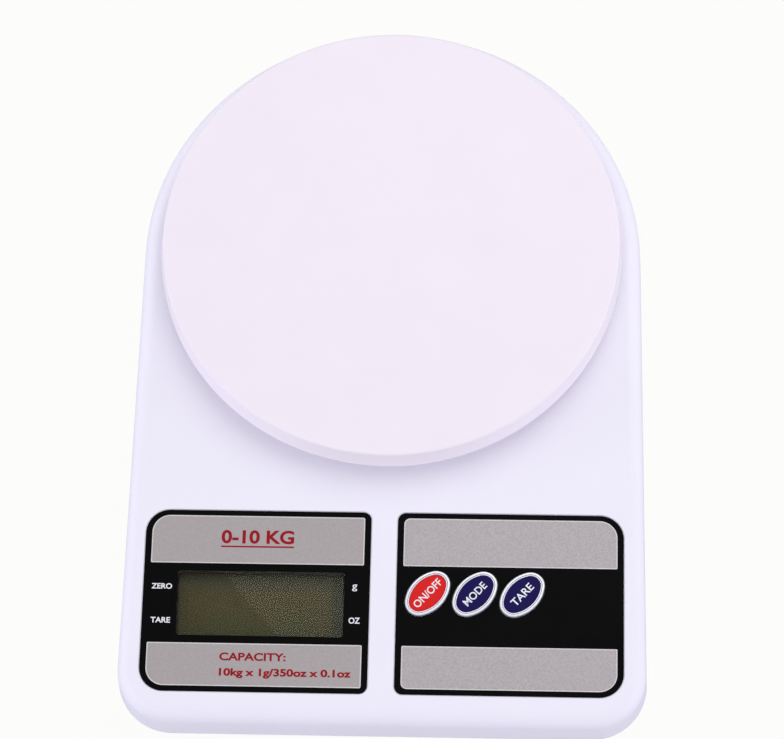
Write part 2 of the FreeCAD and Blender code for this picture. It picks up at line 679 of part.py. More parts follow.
def battery_bay_cuts():
    """The bay's inside, the latch's room, the slots for the door's tabs and the finger scoop."""
    low = UNDERSIDE_HEIGHT - OVERRUN
    cuts = [block(-BAY_HALF_LENGTH, BAY_HALF_LENGTH, BAY_FRONT, BAY_REAR, low, BAY_CEILING_Z)]
    half = LATCH_WIDTH / 2 + DOOR_CLEARANCE
    latch_front = BAY_FRONT - LATCH_REACH - DOOR_CLEARANCE
    cuts.append(block(-half, half, latch_front, BAY_FRONT + OVERRUN, low, DOOR_TOP_Z + LATCH_POCKET_GAP))
    notch_width = DOOR_TAB_WIDTH + 2 * DOOR_CLEARANCE
    for side in SIDES:
        cuts.append(centred_block(side * DOOR_TAB_X, BAY_REAR + BAY_WALL / 2, notch_width,
                                  BAY_WALL + 2 * OVERRUN, FLOOR_Z, FLOOR_Z + DOOR_NOTCH_HEIGHT))
    centre_z = UNDERSIDE_HEIGHT + FINGER_SCOOP_DEPTH - FINGER_SCOOP_RADIUS
    scoop_start = Vector(-FINGER_SCOOP_WIDTH / 2, latch_front, centre_z)
    cuts.append(Part.makeCylinder(FINGER_SCOOP_RADIUS, FINGER_SCOOP_WIDTH, scoop_start, ALONG_X))
    return cuts


def bottom_cover():
    """Lower shell: tapered walls, tongue, screw wells, foot recesses, load-cell pedestal and battery bay."""
    core_inset = FRONT_CORNER_RADIUS - CORNER_CORE_RADIUS
    rim_z = PARTING_Z - PARTING_GROOVE
    wall = swept_wall([
        (BOTTOM_TAPER, UNDERSIDE_HEIGHT, BOTTOM_EDGE_RADIUS),
        (core_inset, UNDERSIDE_HEIGHT, 0),
        (core_inset, FLOOR_Z, 0),
        (WALL + BOTTOM_TAPER, FLOOR_Z, FLOOR_EDGE_RADIUS),
        (WALL, PARTING_Z + TONGUE_HEIGHT, 0),
        (WALL - TONGUE_THICKNESS, PARTING_Z + TONGUE_HEIGHT, 0),
        (WALL - TONGUE_THICKNESS, rim_z, 0),
        (0, rim_z, 0),
    ])
    pieces = [wall, body_prism(core_inset, UNDERSIDE_HEIGHT, FLOOR_Z)]
    pieces += [foot_pad(x, y) for x, y in FOOT_PLACES]
    pieces += [screw_well(x, y) for x, y in CASE_SCREW_PLACES]
    pieces += load_cell_supports() + battery_bay()
    shell = fuse(pieces)
    cuts = [foot_recess(x, y) for x, y in FOOT_PLACES]
    for x, y in CASE_SCREW_PLACES:
        cuts += screw_well_bores(x, y)
    cuts += load_screw_bores() + battery_bay_cuts()
    return shell.cut(cuts)


def rubber_feet():
    profile = [
        (0, 0),
        (FOOT_RADIUS - FOOT_CHAMFER, 0),
        (FOOT_RADIUS, FOOT_CHAMFER),
        (FOOT_RADIUS, FOOT_HEIGHT),
        (0, FOOT_HEIGHT),
    ]
    return Part.makeCompound([revolved(profile, x, y) for x, y in FOOT_PLACES])


def case_screws():
    reach = WELL_SEAT + CASE_SCREW_THREAD
    return Part.makeCompound([
        screw(x, y, WELL_SEAT_Z, 1, CASE_SCREW_RADIUS, CASE_SCREW_HEAD_RADIUS, CASE_SCREW_HEAD_HEIGHT, reach)
        for x, y in CASE_SCREW_PLACES
    ])


# ---------------------------------------------------------------- labels, display and keys

def display_label():
    label_z = BODY_TOP_Z - LABEL_RECESS
    plate = label_plate(-1, 0, label_z, label_z + LABEL_THICKNESS)
    return plate.cut(window_plate(WINDOW_CLEARANCE, label_z - OVERRUN, BODY_TOP_Z))


def button_label():
    label_z = BODY_TOP_Z - LABEL_RECESS
    plate = label_plate(1, 0, label_z, label_z + LABEL_THICKNESS)
    return plate.cut([oval(x, KEY_Y, KEY_CLEARANCE, label_z - OVERRUN, BODY_TOP_Z) for x in KEY_PLACES])


def display_window():
    """Clear lens: a raised pane that fills the opening and a flange that rests against the ceiling."""
    pane = window_plate(0, LENS_UNDER_Z, BODY_TOP_Z - LABEL_RECESS + LABEL_THICKNESS)
    flange = window_plate(LENS_FLANGE_MARGIN, LENS_UNDER_Z, CEILING_Z)
    return fuse([flange, pane])


def lcd_panel():
    """Two glass plates, the lower one with a ledge in front for its contacts."""
    lower = centred_block(WINDOW_X, WINDOW_Y, LCD_WIDTH, LCD_DEPTH, LCD_Z, LCD_Z + LCD_LOWER_GLASS)
    upper = block(WINDOW_X - LCD_WIDTH / 2, WINDOW_X + LCD_WIDTH / 2, WINDOW_Y - LCD_DEPTH / 2 + LCD_LEDGE,
                  WINDOW_Y + LCD_DEPTH / 2, LCD_Z + LCD_LOWER_GLASS, LCD_TOP_Z)
    return fuse([lower, upper])


def contact_strips():
    """Elastomer strips between the board and the display's edges."""
    offset = LCD_DEPTH / 2 - ZEBRA_WIDTH
    width = LCD_WIDTH - LCD_LEDGE
    return Part.makeCompound([
        centred_block(WINDOW_X, WINDOW_Y + side * offset, width, ZEBRA_WIDTH, BOARD_TOP_Z, LCD_Z)
        for side in SIDES
    ])


def frame_peg_places():
    reach_x = FRAME_WIDTH / 2 - FRAME_PEG_FROM_END
    reach_y = FRAME_DEPTH / 2 + FRAME_PEG_WALL
    return [(WINDOW_X + i * reach_x, WINDOW_Y + j * reach_y) for i in SIDES for j in SIDES]


def lcd_frame():
    """Plastic bezel that presses the display onto its strips, with pegs through the board."""
    top = LCD_TOP_Z + LCD_FRAME_LIP
    frame = centred_block(WINDOW_X, WINDOW_Y, FRAME_WIDTH, FRAME_DEPTH, BOARD_TOP_Z, top)
    ears = [post(x, y, BOARD_TOP_Z, LCD_Z, FRAME_PEG_RADIUS + FRAME_PEG_WALL) for x, y in frame_peg_places()]
    pegs = [post(x, y, BOARD_Z - FRAME_PEG_RISE, BOARD_TOP_Z + OVERRUN, FRAME_PEG_RADIUS)
            for x, y in frame_peg_places()]
    frame = fuse([frame] + ears + pegs)
    room = centred_block(WINDOW_X, WINDOW_Y, LCD_WIDTH + 2 * LCD_FRAME_CLEARANCE,
                         LCD_DEPTH + 2 * LCD_FRAME_CLEARANCE, BOARD_TOP_Z - OVERRUN, LCD_TOP_Z)
    sight = centred_block(WINDOW_X, WINDOW_Y, LCD_WIDTH - 2 * LCD_FRAME_LIP_REACH,
                          LCD_DEPTH - 2 * LCD_FRAME_LIP_REACH, BOARD_TOP_Z, top + OVERRUN)
    return frame.cut([room, sight])


def key(x):
    """Oval key: raised rim round a dished face, two retaining lugs and a stem onto the switch."""
    top = BODY_TOP_Z + KEY_RISE
    low = CEILING_Z - KEY_LUG_GAP - KEY_LUG_THICKNESS
    cap = oval(x, KEY_Y, 0, low, top)
    cap = cap.makeFillet(KEY_EDGE_RADIUS, edges_at(cap, top))
    reach = KEY_HALF_LENGTH + KEY_CLEARANCE + KEY_LUG_REACH
    lugs = centred_block(x, KEY_Y, 2 * reach, KEY_LUG_WIDTH, low, low + KEY_LUG_THICKNESS)
    lugs.rotate(Vector(x, KEY_Y, 0), ALONG_Z, KEY_TURN)
    stem = post(x, KEY_Y, PLUNGER_TIP_Z, low + OVERRUN / 2, KEY_STEM_RADIUS)
    solid = fuse([cap, lugs, stem])
    return solid.cut(oval(x, KEY_Y, -KEY_RIM, top - KEY_DISH, top + OVERRUN))


def plunger(x):
    return post(x, KEY_Y, SWITCH_TOP_Z - PLUNGER_HOLD, PLUNGER_TIP_Z, PLUNGER_RADIUS)


def tact_switches():
    """Switch bodies with a bore for the plunger."""
    half = SWITCH_SIZE / 2
    floor = SWITCH_TOP_Z - PLUNGER_HOLD - 2 * KEY_TRAVEL
    switches = []
    for x in KEY_PLACES:
        case = rounded_plate(x - half, x + half, KEY_Y - half, KEY_Y + half, BOARD_TOP_Z, SWITCH_TOP_Z,
                             SWITCH_CORNER_RADIUS, SWITCH_CORNER_RADIUS)
        bore = post(x, KEY_Y, floor, SWITCH_TOP_Z + OVERRUN, PLUNGER_RADIUS + PLUNGER_CLEARANCE)
        switches.append(case.cut(bore))
    return Part.makeCompound(switches)


def main_board():
    """Circuit board with holes for its screws and for the display frame's pegs."""
    board = rounded_plate(BOARD_LEFT, BOARD_RIGHT, BOARD_FRONT, BOARD_REAR, BOARD_Z, BOARD_TOP_Z,
                          BOARD_CORNER_RADIUS, BOARD_CORNER_RADIUS)
    low = BOARD_Z - OVERRUN
    high = BOARD_TOP_Z + OVERRUN
    holes = [post(x, y, low, high, BOARD_SCREW_RADIUS + SHANK_CLEARANCE) for x, y in BOARD_SCREW_PLACES]
    holes += [post(x, y, low, high, FRAME_PEG_RADIUS + FRAME_PEG_CLEARANCE) for x, y in frame_peg_places()]
    return board.cut(holes)


def board_screws():
    reach = BOARD_THICKNESS + BOARD_SCREW_THREAD
    return Part.makeCompound([
        screw(x, y, BOARD_Z, 1, BOARD_SCREW_RADIUS, BOARD_SCREW_HEAD_RADIUS, BOARD_SCREW_HEAD_HEIGHT, reach)
        for x, y in BOARD_SCREW_PLACES
    ])


def chip_blob():
    """Low mound of epoxy over the bare chip, under the board."""
    profile = [
        (0, BOARD_Z),
        (BLOB_RADIUS, BOARD_Z),
        (BLOB_RADIUS * BLOB_CROWN, BOARD_Z - BLOB_HEIGHT),
        (0, BOARD_Z - BLOB_HEIGHT),
    ]
    return revolved(profile, KEY_PLACES[0], WINDOW_Y)


# ---------------------------------------------------------------- weighing

def load_cell():
    """Single-point beam: two bores joined by a slot thin the top and bottom where the gauges sit."""
    half = LOAD_CELL_LENGTH / 2
    beam = centred_block(0, PLATFORM_Y, LOAD_CELL_LENGTH, LOAD_CELL_WIDTH, LOAD_CELL_Z, LOAD_CELL_TOP_Z)
    middle_z = (LOAD_CELL_Z + LOAD_CELL_TOP_Z) / 2
    start_y = PLATFORM_Y - LOAD_CELL_WIDTH / 2 - OVERRUN
    depth = LOAD_CELL_WIDTH + 2 * OVERRUN
    cuts = []
    for side in SIDES:
        start = Vector(side * LOAD_CELL_BORE_SPACING / 2, start_y, middle_z)
        cuts.append(Part.makeCylinder(LOAD_CELL_BORE_RADIUS, depth, start, Vector(0, 1, 0)))
    cuts.append(block(-LOAD_CELL_BORE_SPACING / 2, LOAD_CELL_BORE_SPACING / 2, start_y, start_y + depth,
                      middle_z - LOAD_CELL_SLOT_HEIGHT / 2, middle_z + LOAD_CELL_SLOT_HEIGHT / 2))
    radius = M4_RADIUS + THREAD_CLEARANCE
    for place in LOAD_SCREW_PLACES:
        cuts.append(post(-place, PLATFORM_Y, LOAD_CELL_Z - OVERRUN, LOAD_CELL_Z + TAPPED_DEPTH, radius))
        tapped_z = LOAD_CELL_TOP_Z - TAPPED_DEPTH
        cuts.append(post(place, PLATFORM_Y, tapped_z, LOAD_CELL_TOP_Z + OVERRUN, radius))
    return beam.cut(cuts)


def gauge_coats():
    """Silicone over the strain gauges, above and below the beam."""
    return Part.makeCompound([
        centred_block(0, PLATFORM_Y, GAUGE_COAT_LENGTH, LOAD_CELL_WIDTH - GAUGE_COAT_THICKNESS, z,
                      z + GAUGE_COAT_THICKNESS)
        for z in (LOAD_CELL_Z - GAUGE_COAT_THICKNESS, LOAD_CELL_TOP_Z)
    ])


def load_cell_screws():
    """Screws from below into the beam's fixed end."""
    seat = UNDERSIDE_HEIGHT + M4_HEAD_HEIGHT + HEAD_CLEARANCE
    reach = LOAD_CELL_Z + M4_THREAD_DEPTH - seat
    return Part.makeCompound([
        screw(-place, PLATFORM_Y, seat, 1, M4_RADIUS, M4_HEAD_RADIUS, M4_HEAD_HEIGHT, reach)
        for place in LOAD_SCREW_PLACES
    ])


def spacer_block():
    """Metal block that lifts the carrier clear of the housing."""
    block_solid = block(SPACER_INNER_X, LOAD_CELL_LENGTH / 2, PLATFORM_Y - LOAD_CELL_WIDTH / 2,
                        PLATFORM_Y + LOAD_CELL_WIDTH / 2, LOAD_CELL_TOP_Z, CARRIER_Z)
    return block_solid.cut([
        post(place, PLATFORM_Y, LOAD_CELL_TOP_Z - OVERRUN, CARRIER_Z + OVERRUN, M4_RADIUS + SHANK_CLEARANCE)
        for place in LOAD_SCREW_PLACES
    ])


def carrier_window(angle):
    """One of the four openings between the carrier's spokes."""
    outer = CARRIER_RADIUS - CARRIER_RIM_WALL
    low = CARRIER_Z - OVERRUN
    high = CARRIER_TOP_Z + OVERRUN
    half = SPOKE_WIDTH / 2
    quarter = block(half, outer, PLATFORM_Y + half, PLATFORM_Y + outer, low, high)
    window = ring(outer, outer - CARRIER_HUB_RADIUS, low, high).common(quarter)
    window.rotate(Vector(0, PLATFORM_Y, 0), ALONG_Z, angle)
    return window


def platform_carrier():
    """Wheel-shaped plate with four ribbed spokes, screwed to the load cell through the spacer."""
    plate = post(0, PLATFORM_Y, CARRIER_Z, CARRIER_TOP_Z, CARRIER_RADIUS)
    plate = plate.cut([carrier_window(angle) for angle in (0, 90, 180, 270)])
    rib_start = CARRIER_HUB_RADIUS
    rib_end = SEAT_RING_RADIUS - 2 * SEAT_RING_WALL
    ribs = []
    for angle in (0, 90, 180, 270):
        for side in SIDES:
            y = PLATFORM_Y + side * (SPOKE_WIDTH / 2 - SPOKE_RIB_THICKNESS)
            rib = block(rib_start, rib_end, y - SPOKE_RIB_THICKNESS / 2, y + SPOKE_RIB_THICKNESS / 2,
                        CARRIER_Z, CARRIER_TOP_Z + SPOKE_RIB_HEIGHT)
            rib.rotate(Vector(0, PLATFORM_Y, 0), ALONG_Z, angle)
            ribs.append(rib)
    plate = fuse([plate] + ribs)
    return plate.cut([
        post(place, PLATFORM_Y, CARRIER_Z - OVERRUN, CARRIER_TOP_Z + OVERRUN, M4_RADIUS + SHANK_CLEARANCE)
        for place in LOAD_SCREW_PLACES
    ])


def carrier_screws():
    """Screws from above through carrier and spacer into the beam's free end."""
    reach = CARRIER_TOP_Z - LOAD_CELL_TOP_Z + M4_THREAD_DEPTH
    return Part.makeCompound([
        screw(place, PLATFORM_Y, CARRIER_TOP_Z, -1, M4_RADIUS, M4_HEAD_RADIUS, M4_HEAD_HEIGHT, reach)
        for place in LOAD_SCREW_PLACES
    ])


def platform_taper(inset, z0, z1):
    """A round shape about the platform's centre whose side runs parallel to the rim."""
    slope = PLATFORM_TAPER / PLATFORM_RIM_HEIGHT
    low, high = (PLATFORM_RADIUS - inset - slope * (z - PLATFORM_RIM_Z) for z in (z0, z1))
    return Part.makeCone(low, high, z1 - z0, Vector(0, PLATFORM_Y, z0))


def ring(radius, wall, z0, z1):
    """An upright ring about the platform's centre, from its outer radius."""
    outer = post(0, PLATFORM_Y, z0, z1, radius)
    return outer.cut(post(0, PLATFORM_Y, z0 - OVERRUN, z1 + OVERRUN, radius - wall))


def snap_hook(angle):
    """Hook that grips the carrier's rim from outside and below."""
    inner = CARRIER_RADIUS + HOOK_CLEARANCE
    low = CARRIER_Z - HOOK_BARB_HEIGHT
    arm = block(inner, inner + HOOK_THICKNESS, -HOOK_WIDTH / 2, HOOK_WIDTH / 2, low, PLATE_UNDER_Z + OVERRUN)
    toe = block(inner - HOOK_BARB, inner + HOOK_THICKNESS, -HOOK_WIDTH / 2, HOOK_WIDTH / 2, low, CARRIER_Z)
    hook = arm.fuse(toe)
    hook.translate(Vector(0, PLATFORM_Y, 0))
    hook.rotate(Vector(0, PLATFORM_Y, 0), ALONG_Z, angle)
    return hook


def radial_rib(angle, start, end, depth):
    half = RIB_THICKNESS / 2
    rib = block(start, end, -half, half, PLATE_UNDER_Z - depth, PLATE_UNDER_Z + OVERRUN)
    rib.translate(Vector(0, PLATFORM_Y, 0))
    rib.rotate(Vector(0, PLATFORM_Y, 0), ALONG_Z, angle)
    return rib


def platform():
    """Round platform: thin plate with a rounded edge, rim, stiffening ribs, seat ring and snap hooks."""
    dish = platform_taper(0, PLATFORM_RIM_Z, PLATFORM_TOP_Z)
    dish = dish.makeFillet(PLATFORM_EDGE_RADIUS, edges_at(dish, PLATFORM_TOP_Z))
    hollow = platform_taper(PLATFORM_RIM_WALL, PLATFORM_RIM_Z - OVERRUN, PLATE_UNDER_Z)
    into_plate = PLATE_UNDER_Z + OVERRUN
    hub_z = PLATE_UNDER_Z - INNER_RIB_DEPTH
    pieces = [
        dish.cut(hollow),
        ring(SEAT_RING_RADIUS, SEAT_RING_WALL, CARRIER_TOP_Z, into_plate),
        ring(HUB_RING_RADIUS, SEAT_RING_WALL, hub_z, into_plate),
    ]
    hub = HUB_RING_RADIUS - SEAT_RING_WALL / 2
    seat = SEAT_RING_RADIUS - SEAT_RING_WALL / 2
    rim = PLATFORM_RADIUS - PLATFORM_TAPER / 2 - PLATFORM_RIM_WALL / 2
    for step in range(RIB_COUNT):
        angle = (step + 0.5) * 360 / RIB_COUNT
        pieces.append(radial_rib(angle, hub, seat, INNER_RIB_DEPTH))
        pieces.append(radial_rib(angle, seat, rim, OUTER_RIB_DEPTH))
    pieces += [snap_hook(angle) for angle in HOOK_ANGLES]
    return fuse(pieces)


# ---------------------------------------------------------------- batteries and their door

def battery_cells():
    """Two cells head to tail, each with its button at one end."""
    barrel_end = CELL_LENGTH - CELL_NUB_LENGTH
    shoulder = CELL_DIAMETER / 2 - CELL_CHAMFER
    profile = [
        (0, 0),
        (shoulder, 0),
        (CELL_DIAMETER / 2, CELL_CHAMFER),
        (CELL_DIAMETER / 2, barrel_end - CELL_CHAMFER),
        (shoulder, barrel_end),
        (CELL_NUB_RADIUS, barrel_end),
        (CELL_NUB_RADIUS, CELL_LENGTH),
        (0, CELL_LENGTH),
    ]
    cells = []
    for side in SIDES:
        cell = revolved(profile, 0, 0)
        cell.rotate(Vector(0, 0, 0), ALONG_Y, -90 * side)
        tail_x = side * (CELL_LENGTH / 2 - CELL_SHIFT_X)
        cell.translate(Vector(tail_x, BAY_CENTRE_Y + side * CELL_OFFSET_Y, CELL_Z))
        cells.append(cell)
    return Part.makeCompound(cells)


def contact_plate(side, y, width):
    """Flat spring-steel plate against one end wall of the bay."""
    x0 = BAY_HALF_LENGTH - CONTACT_PLATE
    x1 = BAY_HALF_LENGTH
    if side < 0:
        x0, x1 = -x1, -x0
    half_height = CONTACT_HEIGHT / 2
    return block(x0, x1, y - width / 2, y + width / 2, CELL_Z - half_height, CELL_Z + half_height)


def contact_leaf(side):
    """Spring leaf bent from the end plate towards a cell's flat end and back."""
    y = BAY_CENTRE_Y + side * CELL_OFFSET_Y
    root_x = side * (BAY_HALF_LENGTH - CONTACT_PLATE / 2)
    tip_x = side * (BAY_HALF_LENGTH - CONTACT_PLATE - SPRING_LENGTH + SPRING_SEAT + LEAF_THICKNESS / 2)
    foot_x = side * (BAY_HALF_LENGTH - CONTACT_PLATE - LEAF_THICKNESS)
    points = [
        Vector(root_x, y, CELL_Z + CONTACT_HEIGHT / 2 - LEAF_THICKNESS / 2),
        Vector(foot_x - side * LEAF_BEND, y, CELL_Z + CONTACT_HEIGHT / 2 - LEAF_THICKNESS / 2),
        Vector(tip_x, y, CELL_Z + LEAF_BEND),
        Vector(tip_x, y, CELL_Z - LEAF_BEND),
        Vector(foot_x, y, CELL_Z - CONTACT_HEIGHT / 2 + LEAF_THICKNESS),
    ]

    def strip(start, way):
        across = ALONG_Y * (LEAF_WIDTH / 2)
        through = way.cross(ALONG_Y).normalize() * (LEAF_THICKNESS / 2)
        corners = [start + across + through, start - across + through, start - across - through,
                   start + across - through]
        return Part.Face(Part.makePolygon(corners + corners[:1]))

    return carried(points, LEAF_BEND, strip)


def negative_contact():
    side = -1
    plate = contact_plate(side, BAY_CENTRE_Y + side * CELL_OFFSET_Y, CONTACT_WIDTH)
    return fuse([plate, contact_leaf(side)])


def positive_contact():
    return contact_plate(-1, BAY_CENTRE_Y + CELL_OFFSET_Y, CONTACT_WIDTH)


def bridge_contact():
    """One plate across both cells, with the spring on the side of the flat end."""
    plate = contact_plate(1, BAY_CENTRE_Y, CONTACT_WIDTH + 2 * CELL_OFFSET_Y)
    return fuse([plate, contact_leaf(1)])


def door_tab(side):
    """Hook that passes over the floor's edge behind the door."""
    x = side * DOOR_TAB_X
    edge = BAY_REAR - DOOR_CLEARANCE
    inner = edge - DOOR_TAB_RISER
    low = FLOOR_Z + DOOR_TAB_LIFT
    high = low + DOOR_TAB_THICKNESS
    half = DOOR_TAB_WIDTH / 2
    riser = block(x - half, x + half, inner, edge, UNDERSIDE_HEIGHT, high)
    tongue = block(x - half, x + half, inner, BAY_REAR + DOOR_TAB_REACH, low, high)
    return [riser, tongue]


def battery_door():
    """Door with two hooks behind, a spring latch between slits in front and grip ridges on the latch."""
    half_length = BAY_HALF_LENGTH - DOOR_CLEARANCE
    half_latch = LATCH_WIDTH / 2
    front = BAY_FRONT + DOOR_CLEARANCE
    rear = BAY_REAR - DOOR_CLEARANCE
    latch_front = BAY_FRONT - LATCH_REACH
    pieces = [
        block(-half_length, half_length, front, rear, UNDERSIDE_HEIGHT, DOOR_TOP_Z),
        block(-half_latch, half_latch, latch_front, front, UNDERSIDE_HEIGHT, DOOR_TOP_Z),
    ]
    for side in SIDES:
        pieces += door_tab(side)
    for step in range(GRIP_COUNT):
        y = latch_front + GRIP_PITCH * (step + 1)
        pieces.append(centred_block(0, y, LATCH_WIDTH - 2 * GRIP_PITCH, GRIP_PITCH / 2,
                                    UNDERSIDE_HEIGHT - GRIP_HEIGHT, DOOR_TOP_Z))
    for step in range(DOOR_RIB_COUNT):
        x = (step - (DOOR_RIB_COUNT - 1) / 2) * DOOR_RIB_PITCH
        pieces.append(centred_block(x, BAY_CENTRE_Y, RIB_THICKNESS, BAY_HALF_WIDTH,
                                    UNDERSIDE_HEIGHT, DOOR_TOP_Z + DOOR_RIB_HEIGHT))
    door = fuse(pieces)
    slits = []
    for side in SIDES:
        x = side * (LATCH_WIDTH / 2 + LATCH_SLIT / 2)
        slits.append(block(x - LATCH_SLIT / 2, x + LATCH_SLIT / 2, front - OVERRUN, front + LATCH_SLIT_LENGTH,
                           UNDERSIDE_HEIGHT - OVERRUN, DOOR_TOP_Z + OVERRUN))
    return door.cut(slits)


# ---------------------------------------------------------------- leads

def lead(points, radius):
    """A round lead through points."""
    def circle(start, way):
        return Part.Face(Part.Wire(Part.makeCircle(radius, start, way)))

    return carried(points, LEAD_BEND, circle)


def load_cell_cable():
    """Sheathed cable from the side of the load cell round the battery bay and up to the board."""
    side_y = PLATFORM_Y - LOAD_CELL_WIDTH / 2
    exit_z = LOAD_CELL_Z + LOAD_CELL_HEIGHT / 2
    exit_x = -(GAUGE_COAT_LENGTH / 2 + CABLE_RADIUS)
    run_x = -(BAY_HALF_LENGTH + BAY_WALL) - CABLE_FROM_BAY
    run_z = (FLOOR_Z + BOARD_Z) / 2
    turn_y = BAY_REAR + BAY_WALL + CABLE_FROM_BAY
    end_y = BOARD_REAR - 2 * LEAD_BEND
    return lead([
        Vector(exit_x, side_y, exit_z),
        Vector(exit_x, turn_y, exit_z),
        Vector(run_x, turn_y - LEAD_BEND, run_z),
        Vector(run_x, end_y, run_z),
        Vector(run_x, end_y, BOARD_Z),
    ], CABLE_RADIUS)


def battery_leads():
    """Leads from the two contacts of the bay's left end to the board."""
    leads = []
    wall_x = -BAY_HALF_LENGTH - BAY_WALL
    for step, side in enumerate(SIDES):
        y = BAY_CENTRE_Y + side * CELL_OFFSET_Y
        x = wall_x - LEAD_BEND - LEAD_PITCH * (step + 1)
        end_y = BOARD_REAR - 2 * LEAD_BEND
        leads.append(lead([
            Vector(wall_x, y, BATTERY_LEAD_HEIGHT),
            Vector(x, y, BATTERY_LEAD_HEIGHT),
            Vector(x, end_y, BATTERY_LEAD_HEIGHT - LEAD_BEND),
            Vector(x, end_y, BOARD_Z),
        ], LEAD_RADIUS))
    return Part.makeCompound(leads)


# ---------------------------------------------------------------- the parts

def build_parts():
    parts = {
        "top_housing": top_housing(),
        "bottom_cover": bottom_cover(),
        "rubber_feet": rubber_feet(),
        "case_screws": case_screws(),
        "display_label": display_label(),
        "button_label": button_label(),
        "display_window": display_window(),
        "lcd_panel": lcd_panel(),
        "lcd_contact_strips": contact_strips(),
        "lcd_frame": lcd_frame(),
        "main_board": main_board(),
        "board_screws": board_screws(),
        "chip_blob": chip_blob(),
        "tact_switches": tact_switches(),
        "load_cell": load_cell(),
        "gauge_coats": gauge_coats(),
        "load_cell_screws": load_cell_screws(),
        "load_cell_cable": load_cell_cable(),
        "spacer_block": spacer_block(),
        "platform_carrier": platform_carrier(),
        "carrier_screws": carrier_screws(),
        "platform": platform(),
        "battery_cells": battery_cells(),
        "negative_contact": negative_contact(),
        "positive_contact": positive_contact(),
        "bridge_contact": bridge_contact(),
        "battery_leads": battery_leads(),
        "battery_door": battery_door(),
    }
    for name, x in zip(KEY_NAMES, KEY_PLACES):
        parts[name + "_key"] = key(x)
        parts[name + "_plunger"] = plunger(x)
    return parts


def main():
    os.makedirs("parts", exist_ok=True)
    for name, shape in build_parts().items():
        shape.exportStep(os.path.join("parts", name + ".step"))
        volumes = [round(solid.Volume, 1) for solid in shape.Solids]
        print(name, "valid" if shape.isValid() else "NOT VALID", volumes)


main()
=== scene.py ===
"""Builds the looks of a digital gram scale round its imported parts."""

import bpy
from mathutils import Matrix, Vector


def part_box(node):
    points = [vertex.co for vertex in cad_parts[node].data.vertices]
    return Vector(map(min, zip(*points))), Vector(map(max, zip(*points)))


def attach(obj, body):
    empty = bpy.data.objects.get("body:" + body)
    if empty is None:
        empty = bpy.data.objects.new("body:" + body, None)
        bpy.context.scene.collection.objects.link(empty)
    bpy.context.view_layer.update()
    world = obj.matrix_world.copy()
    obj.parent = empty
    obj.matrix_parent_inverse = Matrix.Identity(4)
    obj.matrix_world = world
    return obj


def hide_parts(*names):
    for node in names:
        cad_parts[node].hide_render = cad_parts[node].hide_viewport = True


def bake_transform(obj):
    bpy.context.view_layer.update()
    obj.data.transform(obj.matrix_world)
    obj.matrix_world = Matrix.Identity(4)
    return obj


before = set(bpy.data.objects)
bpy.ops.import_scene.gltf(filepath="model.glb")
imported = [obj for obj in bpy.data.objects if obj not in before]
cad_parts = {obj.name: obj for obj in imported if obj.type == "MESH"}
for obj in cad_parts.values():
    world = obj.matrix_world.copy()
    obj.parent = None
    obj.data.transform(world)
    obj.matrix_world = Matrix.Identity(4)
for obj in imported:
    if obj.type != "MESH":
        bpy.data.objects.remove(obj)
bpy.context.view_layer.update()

import math

import bmesh
import bpy
from mathutils import Matrix, Vector

bl_info = {
    "name": "Digital gram scale",
    "version": (1, 0, 0),
    "blender": (4, 5, 0),
    "location": "View3D > Sidebar > Gram scale",
    "description": "Builds the housing, platform, labels, keys and light of a digital gram scale",
    "category": "Object",
}

MM = 0.001
OVERRUN = 1 * MM                 # how far a cutting shape passes the face that it cuts
OVERLAP = 0.1 * MM               # how far a rib reaches past the ring that it joins
HAIR = 0.02 * MM                 # keeps two faces or corners from falling together
CLOSE = 1e-6                     # points and heights this close are the same
LEVEL = 0.99                     # upward share of a normal from which a face counts as level
FLAT = math.radians(0.1)         # faces at less than this angle are one flat face
SHARP = math.radians(30)         # edges past this angle stay sharp
SQUARE = math.radians(60)        # edges past this angle are the rim of an opening
UP = Vector((0, 0, 1))
KEYS = ("power", "mode", "tare")

REAR_STEPS, CORNER_STEPS = 120, 24       # edges in the body's rear and in a front corner
LABEL_STEPS = 12                         # edges in a corner of a label or the window
KEY_END_STEPS, KEY_SIDE_STEPS = 14, 18   # edges in a key's ends and its long sides
POST_STEPS, PILOT_STEPS = 32, 20         # sides of a post and of the hole in it
PLATFORM_STEPS = 180                     # faces round the platform

EVEN = (1, 1, 1)                         # a pattern that isn't stretched along any axis
ALONG_BEAM = (0.08, 1, 1)                # a pattern drawn out along the load cell's beam
INNER_ROUGHNESS = (0.4, 0.5)             # of the plastic parts inside
WHITE = (1, 1, 0.985, 1)                 # floor and backdrop as the camera sees them


# ---------------------------------------------------------------- settings

def length(name, description, millimetres):
    return bpy.props.FloatProperty(
        name=name, description=description, default=millimetres * MM,
        min=0, precision=5, unit="LENGTH")


def angle(name, description, degrees):
    return bpy.props.FloatProperty(
        name=name, description=description, default=math.radians(degrees), subtype="ANGLE")


def linear(value):
    """One channel of a screen colour, 0 to 255, as light."""
    value /= 255
    return value / 12.92 if value <= 0.04045 else ((value + 0.055) / 1.055) ** 2.4


def colour(name, description, screen):
    return bpy.props.FloatVectorProperty(
        name=name, description=description, default=[linear(c) for c in screen],
        min=0, max=1, size=3, subtype="COLOR")


